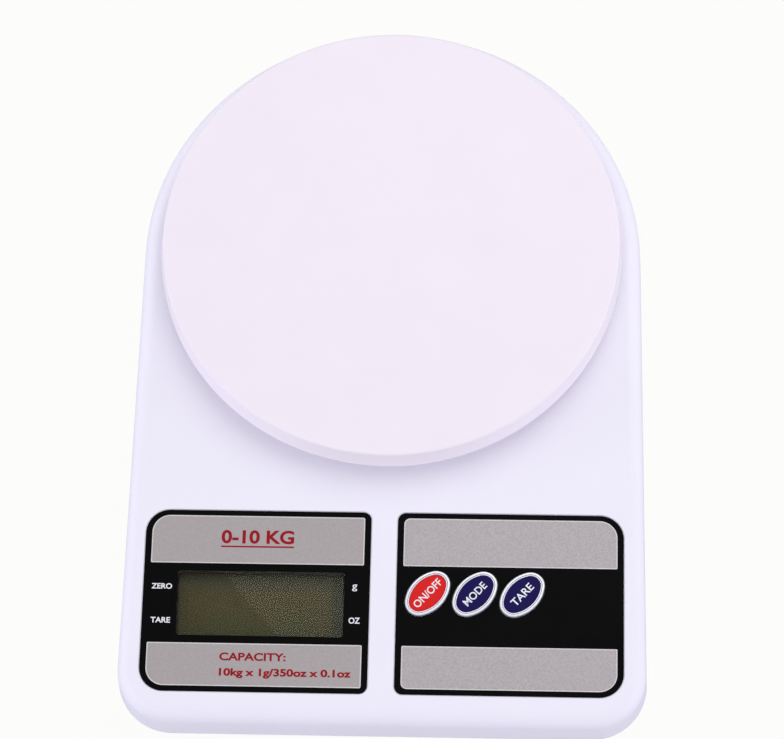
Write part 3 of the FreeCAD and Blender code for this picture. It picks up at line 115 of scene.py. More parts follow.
class GramScaleSizes(bpy.types.PropertyGroup):
    rear_radius: length("Rear radius", "Half-round rear of the body, in plan", 80.8)
    corner_radius: length("Front corner radius", "Front corners of the body, in plan", 17.5)
    draft: length("Draft", "How far the top of the wall leans in", 0.8)
    top_edge: length("Top edge radius", "Rounding between the wall and the top", 4.5)
    wall: length("Wall", "Thickness of the housing's wall and top", 2.2)
    ceiling_edge: length("Ceiling edge radius", "Rounding inside the housing's top edge", 2.2)
    rabbet: length("Rabbet", "Thickness of the housing's wall beside the cover's tongue", 1.1)
    rabbet_height: length("Rabbet height", "Depth of the step for the cover's tongue", 1.9)
    boss_radius: length("Boss radius", "Posts that take the housing's screws", 3.5)
    pilot_radius: length("Pilot radius", "Holes in the posts for the housing's screws", 1.5)
    board_boss_radius: length("Board boss radius", "Posts that take the board's screws", 3.0)
    board_pilot_radius: length(
        "Board pilot radius", "Holes in the posts for the board's screws", 1.25)
    recess: length("Label recess", "Depth of the label recesses", 0.35)
    recess_gap: length("Recess gap", "Gap round a label in its recess", 0.25)
    lip: length("Opening edge", "Rounding of the edges round recesses and keys", 0.2)
    key_gap: length("Key gap", "Gap round a key in the housing", 0.3)
    window_gap: length("Window gap", "Gap round the window in the housing", 0.15)
    window_corner: length("Window corner", "Corner radius of the window", 0.8)
    flange: length("Window flange", "How far the window's flange reaches under the housing", 2.0)
    flange_height: length("Flange height", "Thickness of the window's flange", 1.0)
    spacer_gap: length("Spacer gap", "Room round the load cell's spacer", 2.5)
    outer_corner: length("Label outer corner", "Label corners next to the body's side", 7.6)
    inner_corner: length("Label inner corner", "Label corners next to the middle", 2.6)
    band_corner: length("Band corner", "Corners of the key label's bands next to the middle", 1.9)
    film_border: length("Label border", "Black border round the silver bands", 2.0)
    print_step: length("Print thickness", "How far a printed layer stands proud", 0.02)
    band_outline: length("Band outline", "Width of the pale line round a silver band", 0.32)
    platform_edge: length("Platform edge radius", "Rounding of the platform's top edge", 0.7)
    platform_taper: length("Platform taper", "How far the rim leans in towards the top", 1.1)
    platform_rim: length("Platform rim wall", "Wall of the platform's rim", 2.0)
    platform_depth: length("Platform depth", "Height of the platform's rim", 7.5)
    rim_round: length("Rim rounding", "Rounding of the rim's lower edges", 0.3)
    carrier: length("Carrier thickness", "Thickness of the plate that the platform stands on", 2.0)
    platform_plate: length("Platform plate", "Thickness of the platform's plate", 2.4)
    beam_flexure: length("Beam flexure", "Half length of the load cell's thin part", 11.4)
    seat_ring: length(
        "Seat ring radius", "Ring under the platform that stands on the carrier", 46.0)
    hub_ring: length("Hub ring radius", "Small ring in the middle under the platform", 14.0)
    ring_wall: length("Ring wall", "Thickness of the rings under the platform", 1.6)
    rib: length("Rib thickness", "Thickness of the ribs under the platform", 1.2)
    inner_rib: length("Inner rib depth", "Ribs inside the seat ring", 2.2)
    outer_rib: length("Outer rib depth", "Ribs outside the seat ring", 3.6)
    hook_width: length("Hook width", "Snap hooks that hold the carrier", 9.0)
    hook_wall: length("Hook thickness", "Snap hooks that hold the carrier", 1.5)
    hook_barb: length("Hook barb", "How far a snap hook reaches under the carrier", 1.1)
    hook_gap: length("Hook gap", "Gap between a snap hook and the carrier's rim", 0.2)
    key_edge: length("Key edge radius", "Rounding of a key's outer edge", 0.25)
    key_half_length: length("Key half length", "Half of a key's long axis", 8.25)
    key_half_width: length("Key half width", "Half of a key's short axis", 5.55)
    key_end_radius: length("Key end radius", "Radius of a key's two ends", 4.3)
    key_turn: angle("Key turn", "Long axis of the keys, from the right", 48)


class GramScaleColours(bpy.types.PropertyGroup):
    shell: colour("Shell", "White plastic of the housing", (238, 236, 247))
    plate: colour("Plate", "White plastic of the platform", (241, 234, 243))
    film: colour("Label film", "Black film of the labels", (6, 6, 6))
    left_silver: colour("Left silver", "Silver bands of the display label", (163, 157, 157))
    right_silver: colour("Right silver", "Silver bands of the button label", (170, 164, 166))
    outline: colour("Band outline", "Pale line round the silver bands", (206, 204, 208))
    red_print: colour("Red print", "Red lettering", (148, 20, 33))
    white_print: colour("White print", "White lettering", (238, 238, 242))
    window_side: colour("Window sides", "Blackened sides of the window", (44, 45, 38))
    glass: colour("Display", "Display with nothing shown", (75, 70, 44))
    red_key: colour("Power key", "Face of the power key", (216, 34, 34))
    navy_key: colour("Other keys", "Face of the mode and tare keys", (18, 10, 76))
    ring: colour("Key ring", "Bright ring on a key", (220, 220, 229))
    # painted shade: a darker colour standing in for the shade in the groove of a key's ring
    groove: colour("Key groove", "Groove in the ring of a key", (134, 132, 144))
    rubber: colour("Feet", "Rubber of the feet", (58, 58, 62))
    floor: colour("Floor", "Floor", (196, 196, 200))
    overhead_light: colour("Overhead light", "Light of the overhead softbox", (255, 252, 250))
    side_light: colour("Side light", "Light of the side and front softboxes", (243, 246, 255))


def sizes():
    return bpy.context.scene.gram_scale_sizes


def colours():
    return bpy.context.scene.gram_scale_colours


# ---------------------------------------------------------------- outlines and shapes

def arc(bm, centre, radius, start, sweep, steps):
    """Turns one vertex into an arc and returns its vertices at the two ends."""
    point = Vector(centre) + Vector((math.cos(start), math.sin(start), 0)) * radius
    first = bmesh.ops.create_vert(bm, co=point)["vert"][0]
    spun = bmesh.ops.spin(
        bm, geom=[first], cent=centre, axis=UP, angle=sweep, steps=steps, use_merge=False)
    last = [v for v in spun["geom_last"] if isinstance(v, bmesh.types.BMVert)][0]
    return first, last


def closed_loop(bm, arcs):
    """Joins arcs end to end with straight edges, and returns the loop's edges."""
    before = set(bm.edges)
    ends = [arc(bm, *values) for values in arcs]
    for (_, last), (first, _) in zip(ends, ends[1:] + ends[:1]):
        bm.edges.new((last, first))
    made = [e for e in bm.edges if e not in before]
    verts = list(dict.fromkeys(v for e in made for v in e.verts))
    bmesh.ops.remove_doubles(bm, verts=verts, dist=CLOSE / 10)
    return [e for e in bm.edges if e not in before]


def body_loop(bm, inset, z):
    """The body's outline: a rear half-round and two front corners joined by their tangents."""
    s = sizes()
    low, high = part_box("top_housing")
    rear = Vector((0, high.y - s.rear_radius, z))
    x = high.x - s.corner_radius
    y = low.y + s.corner_radius
    run = Vector((-x, rear.y - y))
    tangent = math.acos((s.rear_radius - s.corner_radius) / run.length)
    lean = math.atan2(run.y, run.x) + tangent - math.pi
    corner = math.pi / 2 + lean
    return closed_loop(bm, [
        (rear, s.rear_radius - inset, lean, math.pi - 2 * lean, REAR_STEPS),
        ((-x, y, z), s.corner_radius - inset, math.pi - lean, corner, CORNER_STEPS),
        ((x, y, z), s.corner_radius - inset, -math.pi / 2, corner, CORNER_STEPS),
    ])


def rounded_loop(bm, low, high, radii, z):
    """A rectangle with a radius for each corner: front left, front right, rear right, rear left."""
    corners = ((low[0], low[1]), (high[0], low[1]), (high[0], high[1]), (low[0], high[1]))
    inward = ((1, 1), (-1, 1), (-1, -1), (1, -1))
    arcs = []
    for turn, (corner, side, radius) in enumerate(zip(corners, inward, radii)):
        centre = (corner[0] + side[0] * radius, corner[1] + side[1] * radius, z)
        arcs.append((centre, radius, math.pi * (1 + turn / 2), math.pi / 2, LABEL_STEPS))
    return closed_loop(bm, arcs)


def label_radii(side, outer, inner):
    """Corner radii in order round a label whose outer side is left (-1) or right (1)."""
    return [outer, inner, inner, outer] if side < 0 else [inner, outer, outer, inner]


def window_corners(gap=0):
    """Front left and rear right corner of the window, grown by a gap."""
    s = sizes()
    low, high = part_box("display_window")
    inward = Vector((s.flange - gap, s.flange - gap))
    return low.xy + inward, high.xy - inward


def oval_loop(bm, centre, inset, z):
    """A key's outline: four tangent arcs, turned to the keys' angle."""
    s = sizes()
    reach = s.key_half_length - s.key_end_radius
    squares = reach ** 2 + s.key_half_width ** 2 - s.key_end_radius ** 2
    side = squares / (2 * (s.key_half_width - s.key_end_radius))
    drop = side - s.key_half_width
    half = math.atan2(drop, reach)
    along = Vector((math.cos(s.key_turn), math.sin(s.key_turn), 0))
    across = Vector((-along.y, along.x, 0))
    middle = Vector((centre[0], centre[1], z))
    end, long = s.key_end_radius - inset, side - inset
    arcs = []
    for turn, way in ((s.key_turn, 1), (s.key_turn + math.pi, -1)):
        arcs.append((middle + way * along * reach, end, turn - half, 2 * half, KEY_END_STEPS))
        arcs.append((middle - way * across * drop, long, turn + half, math.pi - 2 * half,
                     KEY_SIDE_STEPS))
    return closed_loop(bm, arcs)


def outward(bm):
    """Turns the faces of closed shapes outwards."""
    bmesh.ops.recalc_face_normals(bm, faces=bm.faces)


def prism(bm, bottom, top):
    """A closed shape between two loops."""
    bmesh.ops.bridge_loops(bm, edges=bottom + top)
    for loop in (bottom, top):
        bmesh.ops.contextual_create(bm, geom=loop)


def bevel(bm, edges, offset, segments):
    """Rounds edges."""
    bmesh.ops.bevel(
        bm, geom=list(edges), offset=offset, offset_type="OFFSET", affect="EDGES",
        segments=segments, profile=0.5, material=-1, clamp_overlap=True)


def block(bm, low, high):
    """A plain block between two corners."""
    low, high = Vector(low), Vector(high)
    size = high - low
    place = Matrix.Translation((low + high) / 2) @ Matrix.Diagonal((*size, 1))
    bmesh.ops.create_cube(bm, size=1, matrix=place)


def post(bm, centre, radius, bottom, top, steps=POST_STEPS):
    """A round post or cutter."""
    place = Matrix.Translation((centre[0], centre[1], (bottom + top) / 2))
    bmesh.ops.create_cone(
        bm, cap_ends=True, segments=steps, radius1=radius, radius2=radius,
        depth=top - bottom, matrix=place)


def turned(bm, centre, profile, steps):
    """Spins a closed profile of (radius, height) points round a vertical axis."""
    verts = [bm.verts.new((centre[0] + r, centre[1], z)) for r, z in profile]
    edges = [bm.edges.new(pair) for pair in zip(verts, verts[1:])]
    bmesh.ops.spin(
        bm, geom=verts + edges, cent=(centre[0], centre[1], 0), axis=UP,
        angle=2 * math.pi, steps=steps, use_merge=True)
    bmesh.ops.remove_doubles(bm, verts=bm.verts, dist=CLOSE)
    outward(bm)


def flat_face(bm, way, z):
    """The largest face at a height that looks up (way 1) or down (way -1)."""
    level = [f for f in bm.faces
             if way * f.normal.z > LEVEL and abs(f.calc_center_median().z - z) < CLOSE]
    return max(level, key=lambda f: f.calc_area())


def lip_edges(bm, z):
    """The sharp edges round the openings of a flat top."""
    return [e for e in bm.edges
            if all(abs(v.co.z - z) < CLOSE for v in e.verts)
            and len(e.link_faces) == 2 and e.calc_face_angle() > SQUARE]


def round_edges(bm, centre, radius, z):
    """The edges of a circle at a radius and height."""
    return [e for e in bm.edges
            if all(abs(v.co.z - z) < CLOSE
                   and abs((v.co - centre).xy.length - radius) < 10 * CLOSE for v in e.verts)]


def scene_object(name, data):
    """Puts a mesh, curve, lamp or camera in the scene."""
    made = bpy.data.objects.new(name, data)
    bpy.context.scene.collection.objects.link(made)
    return made


def mesh_object(name, bm):
    """Turns a shape into an object of the scene."""
    mesh = bpy.data.meshes.new(name)
    bm.to_mesh(mesh)
    bm.free()
    return scene_object(name, mesh)


def boolean(bm, operation, tool):
    """Cuts or joins one closed shape by another and returns the result."""
    objects = []
    for source in (bm, tool):
        outward(source)
        objects.append(mesh_object("part", source))
    modifier = objects[0].modifiers.new("boolean", "BOOLEAN")
    modifier.operation = operation
    modifier.solver = "EXACT"
    modifier.use_self = True
    modifier.object = objects[1]
    graph = bpy.context.evaluated_depsgraph_get()
    result = bmesh.new()
    result.from_mesh(objects[0].evaluated_get(graph).data)
    for part in objects:
        mesh = part.data
        bpy.data.objects.remove(part)
        bpy.data.meshes.remove(mesh)
    return result


def solid_boxes(node):
    """The lowest and highest corner of each separate solid in a CAD node."""
    bm = merged(node)
    left = set(bm.verts)
    boxes = []
    while left:
        group = {left.pop()}
        edge = set(group)
        while edge:
            edge = {e.other_vert(v) for v in edge for e in v.link_edges} - group
            group |= edge
        left -= group
        corners = [[pick(v.co[axis] for v in group) for axis in range(3)] for pick in (min, max)]
        boxes.append(corners)
    bm.free()
    return [(Vector(low), Vector(high)) for low, high in sorted(boxes)]


def merged(node):
    """A CAD node's mesh with its loose triangles joined into whole flat faces."""
    bm = bmesh.new()
    bm.from_mesh(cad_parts[node].data)
    bmesh.ops.remove_doubles(bm, verts=bm.verts, dist=CLOSE)
    bmesh.ops.dissolve_limit(bm, angle_limit=FLAT, verts=bm.verts, edges=bm.edges)
    return bm


def screws_with_recess(node, reach, width, depth):
    """A CAD node's screws with a cross cut into each head from below."""
    cross = bmesh.new()
    for low, high in solid_boxes(node):
        centre = (low + high) / 2
        for x, y in ((reach, width), (width, reach)):
            half = Vector((x / 2, y / 2, depth))
            middle = Vector((centre.x, centre.y, low.z))
            block(cross, middle - half, middle + half)
    return boolean(merged(node), "DIFFERENCE", cross)


def piece(name, bm, materials, body, stands_for=()):
    """Makes a shape an object of the scale, smooth but for its sharp edges."""
    made = mesh_object(name, bm)
    for material in materials:
        made.data.materials.append(material)
    made.data.shade_smooth()
    made.data.set_sharp_from_angle(angle=SHARP)
    weights = made.modifiers.new("even shading", "WEIGHTED_NORMAL")
    weights.keep_sharp = True
    if body:
        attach(made, body)
    if stands_for:
        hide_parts(*stands_for)
    return made


def lettering(name, text, low, high, z, material, body, weight, turn=0):
    """Raised print that fills a box and is then turned about its middle."""
    curve = bpy.data.curves.new(name, "FONT")
    curve.body = text
    curve.align_x = "CENTER"
    curve.resolution_u = 4
    curve.offset = weight
    curve.extrude = 0.5          # each way, so that the scaling below sets the thickness
    source = scene_object(name, curve)
    graph = bpy.context.evaluated_depsgraph_get()
    mesh = bpy.data.meshes.new_from_object(source.evaluated_get(graph))
    bpy.data.objects.remove(source)
    bm = bmesh.new()
    bm.from_mesh(mesh)
    bpy.data.meshes.remove(mesh)
    bmesh.ops.remove_doubles(bm, verts=bm.verts, dist=10 * CLOSE)
    xs = [v.co.x for v in bm.verts]
    ys = [v.co.y for v in bm.verts]
    centre = Vector(((min(xs) + max(xs)) / 2, (min(ys) + max(ys)) / 2, 0))
    width, height = high[0] - low[0], high[1] - low[1]
    thick = sizes().print_step
    scale = Matrix.Diagonal(
        (width / (max(xs) - min(xs)), height / (max(ys) - min(ys)), thick, 1))
    place = Matrix.Translation(
        ((low[0] + high[0]) / 2, (low[1] + high[1]) / 2, z + thick / 2))
    bmesh.ops.transform(
        bm, verts=bm.verts,
        matrix=place @ Matrix.Rotation(turn, 4, "Z") @ scale @ Matrix.Translation(-centre))
    piece(name, bm, [material], body)


# ---------------------------------------------------------------- materials

def add_node(tree, kind, inputs=None, **settings):
    """Adds a shader node; inputs gives its sockets, by name or number, values or links."""
    node = tree.nodes.new("ShaderNode" + kind)
    for name, value in settings.items():
        setattr(node, name, value)
    for socket, value in (inputs or {}).items():
        if isinstance(value, bpy.types.NodeSocket):
            tree.links.new(value, node.inputs[socket])
        else:
            node.inputs[socket].default_value = value
    return node


def greatest(tree, first, *others):
    """The greatest of several values."""
    for other in others:
        first = add_node(tree, "Math", {0: first, 1: other}, operation="MAXIMUM").outputs[0]
    return first


def shader_mix(tree, factor, first, second):
    """The first shader where the factor is 0 and the second where it is 1."""
    shaders = {0: factor, 1: first.outputs[0], 2: second.outputs[0]}
    return add_node(tree, "MixShader", shaders)


class Surface:
    """A material with one Principled shader, whose patterns read Object coordinates."""

    def __init__(self, name, **values):
        self.material = bpy.data.materials.new(name)
        self.material.use_nodes = True
        self.tree = self.material.node_tree
        self.shader = self.tree.nodes["Principled BSDF"]
        for socket, value in values.items():
            self.shader.inputs[socket.replace("_", " ")].default_value = value
        self.place = self.add("TexCoord").outputs["Object"]

    def add(self, kind, inputs=None, **settings):
        return add_node(self.tree, kind, inputs, **settings)

    def link(self, output, socket):
        """Drives one of the shader's values."""
        self.tree.links.new(output, self.shader.inputs[socket])

    def axes(self):
        """The place on the piece as X, Y and Z."""
        return self.add("SeparateXYZ", {"Vector": self.place}).outputs

    def noise(self, scale, detail=3.0, stretch=None):
        """Noise of so many features a metre, from 0 to 1."""
        place = self.place
        if stretch:
            place = self.add("Mapping", {"Scale": stretch, "Vector": place}).outputs["Vector"]
        pattern = {"Scale": scale, "Detail": detail, "Vector": place}
        return self.add("TexNoise", pattern).outputs["Fac"]

    def ranged(self, value, low, high, start=0.3, end=0.7):
        """Goes from low to high while the value goes from start to end."""
        return self.add("MapRange", {
            "From Min": start, "From Max": end, "To Min": low, "To Max": high, "Value": value,
        }).outputs["Result"]

    def mixed(self, factor, first, second):
        """A colour between two, each of which is a colour or a link."""
        first, second = [
            c if isinstance(c, bpy.types.NodeSocket) else (*c, 1) for c in (first, second)]
        return self.add("Mix", {0: factor, 6: first, 7: second}, data_type="RGBA").outputs[2]

    def tinted(self, colour, scale, change, detail=3.0, stretch=None):
        """Base colour that wanders round a colour by a share of it."""
        pattern = self.ranged(self.noise(scale, detail, stretch), 0, 1)
        dark = [c * (1 - change) for c in colour]
        light = [min(1, c * (1 + change)) for c in colour]
        self.link(self.mixed(pattern, dark, light), "Base Color")

    def rough(self, low, high, scale, stretch=None):
        """Roughness that wanders between two values."""
        self.link(self.ranged(self.noise(scale, 4.0, stretch), low, high), "Roughness")

    def grain(self, scale, depth, strength=1.0, detail=3.0, stretch=None):
        """Bumps of so many features a metre and so many metres deep."""
        bump = self.add("Bump", {
            "Strength": strength, "Distance": depth,
            "Height": self.noise(scale, detail, stretch),
        })
        self.link(bump.outputs["Normal"], "Normal")


def made_once(build):
    """Keeps one material for each recipe and its values."""
    kept = {}

    def get(*values):
        key = tuple(tuple(v) if hasattr(v, "__len__") and not isinstance(v, str) else v
                    for v in values)
        if key not in kept:
            kept[key] = build(*values)
        return kept[key]
    return get


@made_once
def moulded_plastic(name, tint, rough_low, rough_high):
    """Moulded plastic: a faint cloudiness, an uneven polish and a very fine skin."""
    s = Surface(name, IOR=1.47, Specular_IOR_Level=0.25)
    s.tinted(tint, scale=45, change=0.008)
    s.rough(rough_low, rough_high, scale=220)
    s.grain(scale=2600, depth=0.012 * MM, strength=0.35)
    return s.material


@made_once
def silver_print(name, tint, flake):
    """Silver ink with fine metal flake of some contrast."""
    s = Surface(name, Metallic=0.2, IOR=1.5, Specular_IOR_Level=0.2)
    s.tinted(tint, scale=1900, change=flake, detail=2.0)
    s.rough(0.38, 0.6, scale=2600)
    s.grain(scale=2400, depth=0.01 * MM, strength=0.5, detail=1.0)
    return s.material


@made_once
def film(name, tint):
    """Smooth black label film with faint handling marks."""
    s = Surface(name, IOR=1.45, Specular_IOR_Level=0.03)
    s.tinted(tint, scale=60, change=0.2)
    s.rough(0.3, 0.42, scale=160)
    s.grain(scale=900, depth=0.004 * MM, strength=0.3)
    return s.material


@made_once
def ink(name, tint):
    """Printed ink, slightly uneven."""
    s = Surface(name, IOR=1.45, Specular_IOR_Level=0.1)
    s.tinted(tint, scale=1800, change=0.05)
    s.rough(0.4, 0.55, scale=900)
    return s.material


@made_once
def key_face(name, tint):
    """Coloured lacquer on a key: even and smooth, with a weak shine."""
    s = Surface(name, IOR=1.45, Specular_IOR_Level=0.08)
    s.tinted(tint, scale=130, change=0.03)
    s.rough(0.28, 0.4, scale=260)
    s.grain(scale=1400, depth=0.006 * MM, strength=0.3)
    return s.material


@made_once
def bright_ring(name, tint):
    """Hot-stamped silver foil."""
    s = Surface(name, Metallic=0.3, IOR=1.6, Specular_IOR_Level=0.3)
    s.tinted(tint, scale=900, change=0.04)
    s.rough(0.2, 0.35, scale=600)
    s.grain(scale=1500, depth=0.005 * MM, strength=0.4)
    return s.material


@made_once
def rubber(name, tint):
    """Rubber, silicone or epoxy: matt, a little blotchy and fine-grained."""
    s = Surface(name, IOR=1.45)
    s.tinted(tint, scale=500, change=0.12)
    s.rough(0.7, 0.85, scale=700)
    s.grain(scale=2200, depth=0.02 * MM, strength=0.6)
    return s.material


@made_once
def metal(name, tint, rough_low, rough_high, stretch):
    """Plain metal with drawing or machining marks along one axis."""
    s = Surface(name, Metallic=1.0)
    s.tinted(tint, scale=420, change=0.06, stretch=stretch)
    s.rough(rough_low, rough_high, scale=700, stretch=stretch)
    s.grain(scale=1500, depth=0.006 * MM, strength=0.4, stretch=stretch)
    return s.material


def plated_steel():
    """The steel that all the screws share."""
    return metal("plated steel", (0.6, 0.6, 0.62), 0.25, 0.4, EVEN)


@made_once
def clear_pane(name):
    """Clear acrylic that lets the lamps' light through to the display."""
    tint = (0.93, 0.93, 0.91, 1)
    s = Surface(name, Base_Color=tint, Transmission_Weight=1.0, IOR=1.15)
    s.rough(0.0, 0.012, scale=130)
    path = s.add("LightPath").outputs
    let_through = greatest(s.tree, path["Is Shadow Ray"], path["Is Diffuse Ray"])
    clear = s.add("BsdfTransparent", {"Color": tint})
    mix = shader_mix(s.tree, let_through, s.shader, clear)
    s.tree.links.new(mix.outputs[0], s.tree.nodes["Material Output"].inputs["Surface"])
    return s.material


@made_once
def display_glass(name, tint):
    """Unlit display: olive, greener towards the front, with painted shade of the window's edges
    along its rear and right.
    """
    s = Surface(name, IOR=1.5, Specular_IOR_Level=0.06)
    low, high = window_corners()
    axes = s.axes()
    across, along = axes["X"], axes["Y"]

    def shade(red, green, blue):
        return [tint[0] * red, tint[1] * green, tint[2] * blue]

    # a tone and the stretch over which it comes in, in millimetres from one edge of the window: the
    # greener front, then painted shade along the rear and right edges, where the window's edges
    # shade the display
    tones_and_painted_shade = (
        (tint, along, low.y, 2, 9),
        # painted shade: darker bands along the display's rear and right edges
        (shade(0.9, 1.0, 1.25), along, high.y, -5.5, -4.2),
        (shade(0.78, 0.92, 1.3), along, high.y, -3.2, -0.4),
        (shade(0.63, 0.8, 1.14), across, high.x, -4.4, -3.2),
    )
    tone = s.mixed(s.ranged(s.noise(60), 0, 1), shade(0.82, 1.15, 1.18), tint)
    for added, axis, edge, start, end in tones_and_painted_shade:
        share = s.ranged(axis, 0, 1, edge + start * MM, edge + end * MM)
        tone = s.mixed(share, tone, added)
    s.link(tone, "Base Color")
    s.rough(0.25, 0.4, scale=300)
    return s.material


@made_once
def cell_jacket(name, tint, steel):
    """Plain jacket of the cells, with bare steel at both ends."""
    s = Surface(name, IOR=1.5)
    low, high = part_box("battery_cells")
    across = s.axes()["X"]
    bare, jacket = 1.5 * MM, 1.7 * MM        # where steel stops and jacket starts, from the end
    end = greatest(
        s.tree, s.ranged(across, 1, 0, low.x + bare, low.x + jacket),
        s.ranged(across, 0, 1, high.x - jacket, high.x - bare))
    cloud = s.mixed(s.ranged(s.noise(90), 0, 1), [0.88 * c for c in tint], tint)
    s.link(s.mixed(end, cloud, steel), "Base Color")
    s.link(end, "Metallic")
    s.rough(0.25, 0.4, scale=500)
    return s.material


def finish_node(node, material):
    """Gives a carried-over CAD node its material."""
    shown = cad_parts[node]
    if not shown.material_slots:
        shown.data.materials.append(material)
    for place in shown.material_slots:
        place.material = material


# ---------------------------------------------------------------- operators

class BuildHousing(bpy.types.Operator):
    """Moulded upper housing with its label recesses and openings"""

    bl_idname = "gram_scale.housing"
    bl_label = "Upper housing"

    def execute(self, context):
        s = sizes()
        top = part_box("top_housing")[1].z
        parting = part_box("top_housing")[0].z
        bm = self.outer(parting, top)
        bm = boolean(bm, "DIFFERENCE", self.core(parting, top - s.wall))
        bm = boolean(bm, "DIFFERENCE", self.tongue_step(parting))
        bm = boolean(bm, "UNION", self.bosses(top - s.wall / 2))
        bm = boolean(bm, "DIFFERENCE", self.pilots())
        bm = boolean(bm, "DIFFERENCE", self.label_recesses(top))
        bm = boolean(bm, "DIFFERENCE", self.openings(top))
        bevel(bm, lip_edges(bm, top), s.lip, segments=2)
        white = moulded_plastic("white plastic", colours().shell, 0.3, 0.44)
        piece("upper_housing", bm, [white], "case", ["top_housing"])
        return {"FINISHED"}

    def outer(self, parting, top):
        """The outer form: a drafted wall and a top with a rounded edge."""
        s = sizes()
        bm = bmesh.new()
        prism(bm, body_loop(bm, 0, parting), body_loop(bm, s.draft, top))
        outward(bm)
        bevel(bm, flat_face(bm, 1, top).edges, s.top_edge, segments=12)
        return bm

    def core(self, parting, ceiling):
        """The room inside the wall and the top."""
        s = sizes()
        bm = bmesh.new()
        prism(bm, body_loop(bm, s.wall, parting - OVERRUN),
              body_loop(bm, s.wall + s.draft, ceiling))
        outward(bm)
        bevel(bm, flat_face(bm, 1, ceiling).edges, s.ceiling_edge, segments=5)
        return bm

    def tongue_step(self, parting):
        """The step inside the wall that takes the bottom cover's tongue."""
        s = sizes()
        bm = bmesh.new()
        prism(bm, body_loop(bm, s.rabbet, parting - OVERRUN),
              body_loop(bm, s.rabbet, parting + s.rabbet_height))
        return bm

    def bosses(self, top):
        """Posts for the housing's and the board's screws."""
        s = sizes()
        bm = bmesh.new()
        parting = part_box("top_housing")[0].z
        for near, far in solid_boxes("case_screws"):
            post(bm, (near + far) / 2, s.boss_radius, parting, top)
        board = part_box("tact_switches")[0].z
        for near, far in solid_boxes("board_screws"):
            post(bm, (near + far) / 2, s.board_boss_radius, board, top)
        return bm

    def pilots(self):
        """The screws' holes in their posts."""
        s = sizes()
        bm = bmesh.new()
        holes = (("case_screws", s.pilot_radius), ("board_screws", s.board_pilot_radius))
        for node, radius in holes:
            for near, far in solid_boxes(node):
                post(bm, (near + far) / 2, radius, near.z, far.z + OVERRUN, PILOT_STEPS)
        return bm

    def label_recesses(self, top):
        """The shallow recesses that the labels lie in."""
        s = sizes()
        bm = bmesh.new()
        for node, side in (("display_label", -1), ("button_label", 1)):
            low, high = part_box(node)
            gap = s.recess_gap
            radii = [r + gap for r in label_radii(side, s.outer_corner, s.inner_corner)]
            near, far = low.xy - Vector((gap, gap)), high.xy + Vector((gap, gap))
            prism(bm, rounded_loop(bm, near, far, radii, top - s.recess),
                  rounded_loop(bm, near, far, radii, top + OVERRUN))
        return bm

    def openings(self, top):
        """The window's hole, the keys' holes and the hole for the load cell's spacer."""
        s = sizes()
        bm = bmesh.new()
        low, high = top - s.wall - OVERRUN, top + OVERRUN
        near, far = window_corners(s.window_gap)
        radii = [s.window_corner + s.window_gap] * 4
        prism(bm, rounded_loop(bm, near, far, radii, low), rounded_loop(bm, near, far, radii, high))
        for key in KEYS:
            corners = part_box(f"{key}_key")
            centre = (corners[0] + corners[1]) / 2
            prism(bm, oval_loop(bm, centre, -s.key_gap, low),
                  oval_loop(bm, centre, -s.key_gap, high))
        near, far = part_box("spacer_block")
        gap = Vector((s.spacer_gap, s.spacer_gap))
        radii = [s.spacer_gap] * 4
        prism(bm, rounded_loop(bm, near.xy - gap, far.xy + gap, radii, low),
              rounded_loop(bm, near.xy - gap, far.xy + gap, radii, high))
        return bm


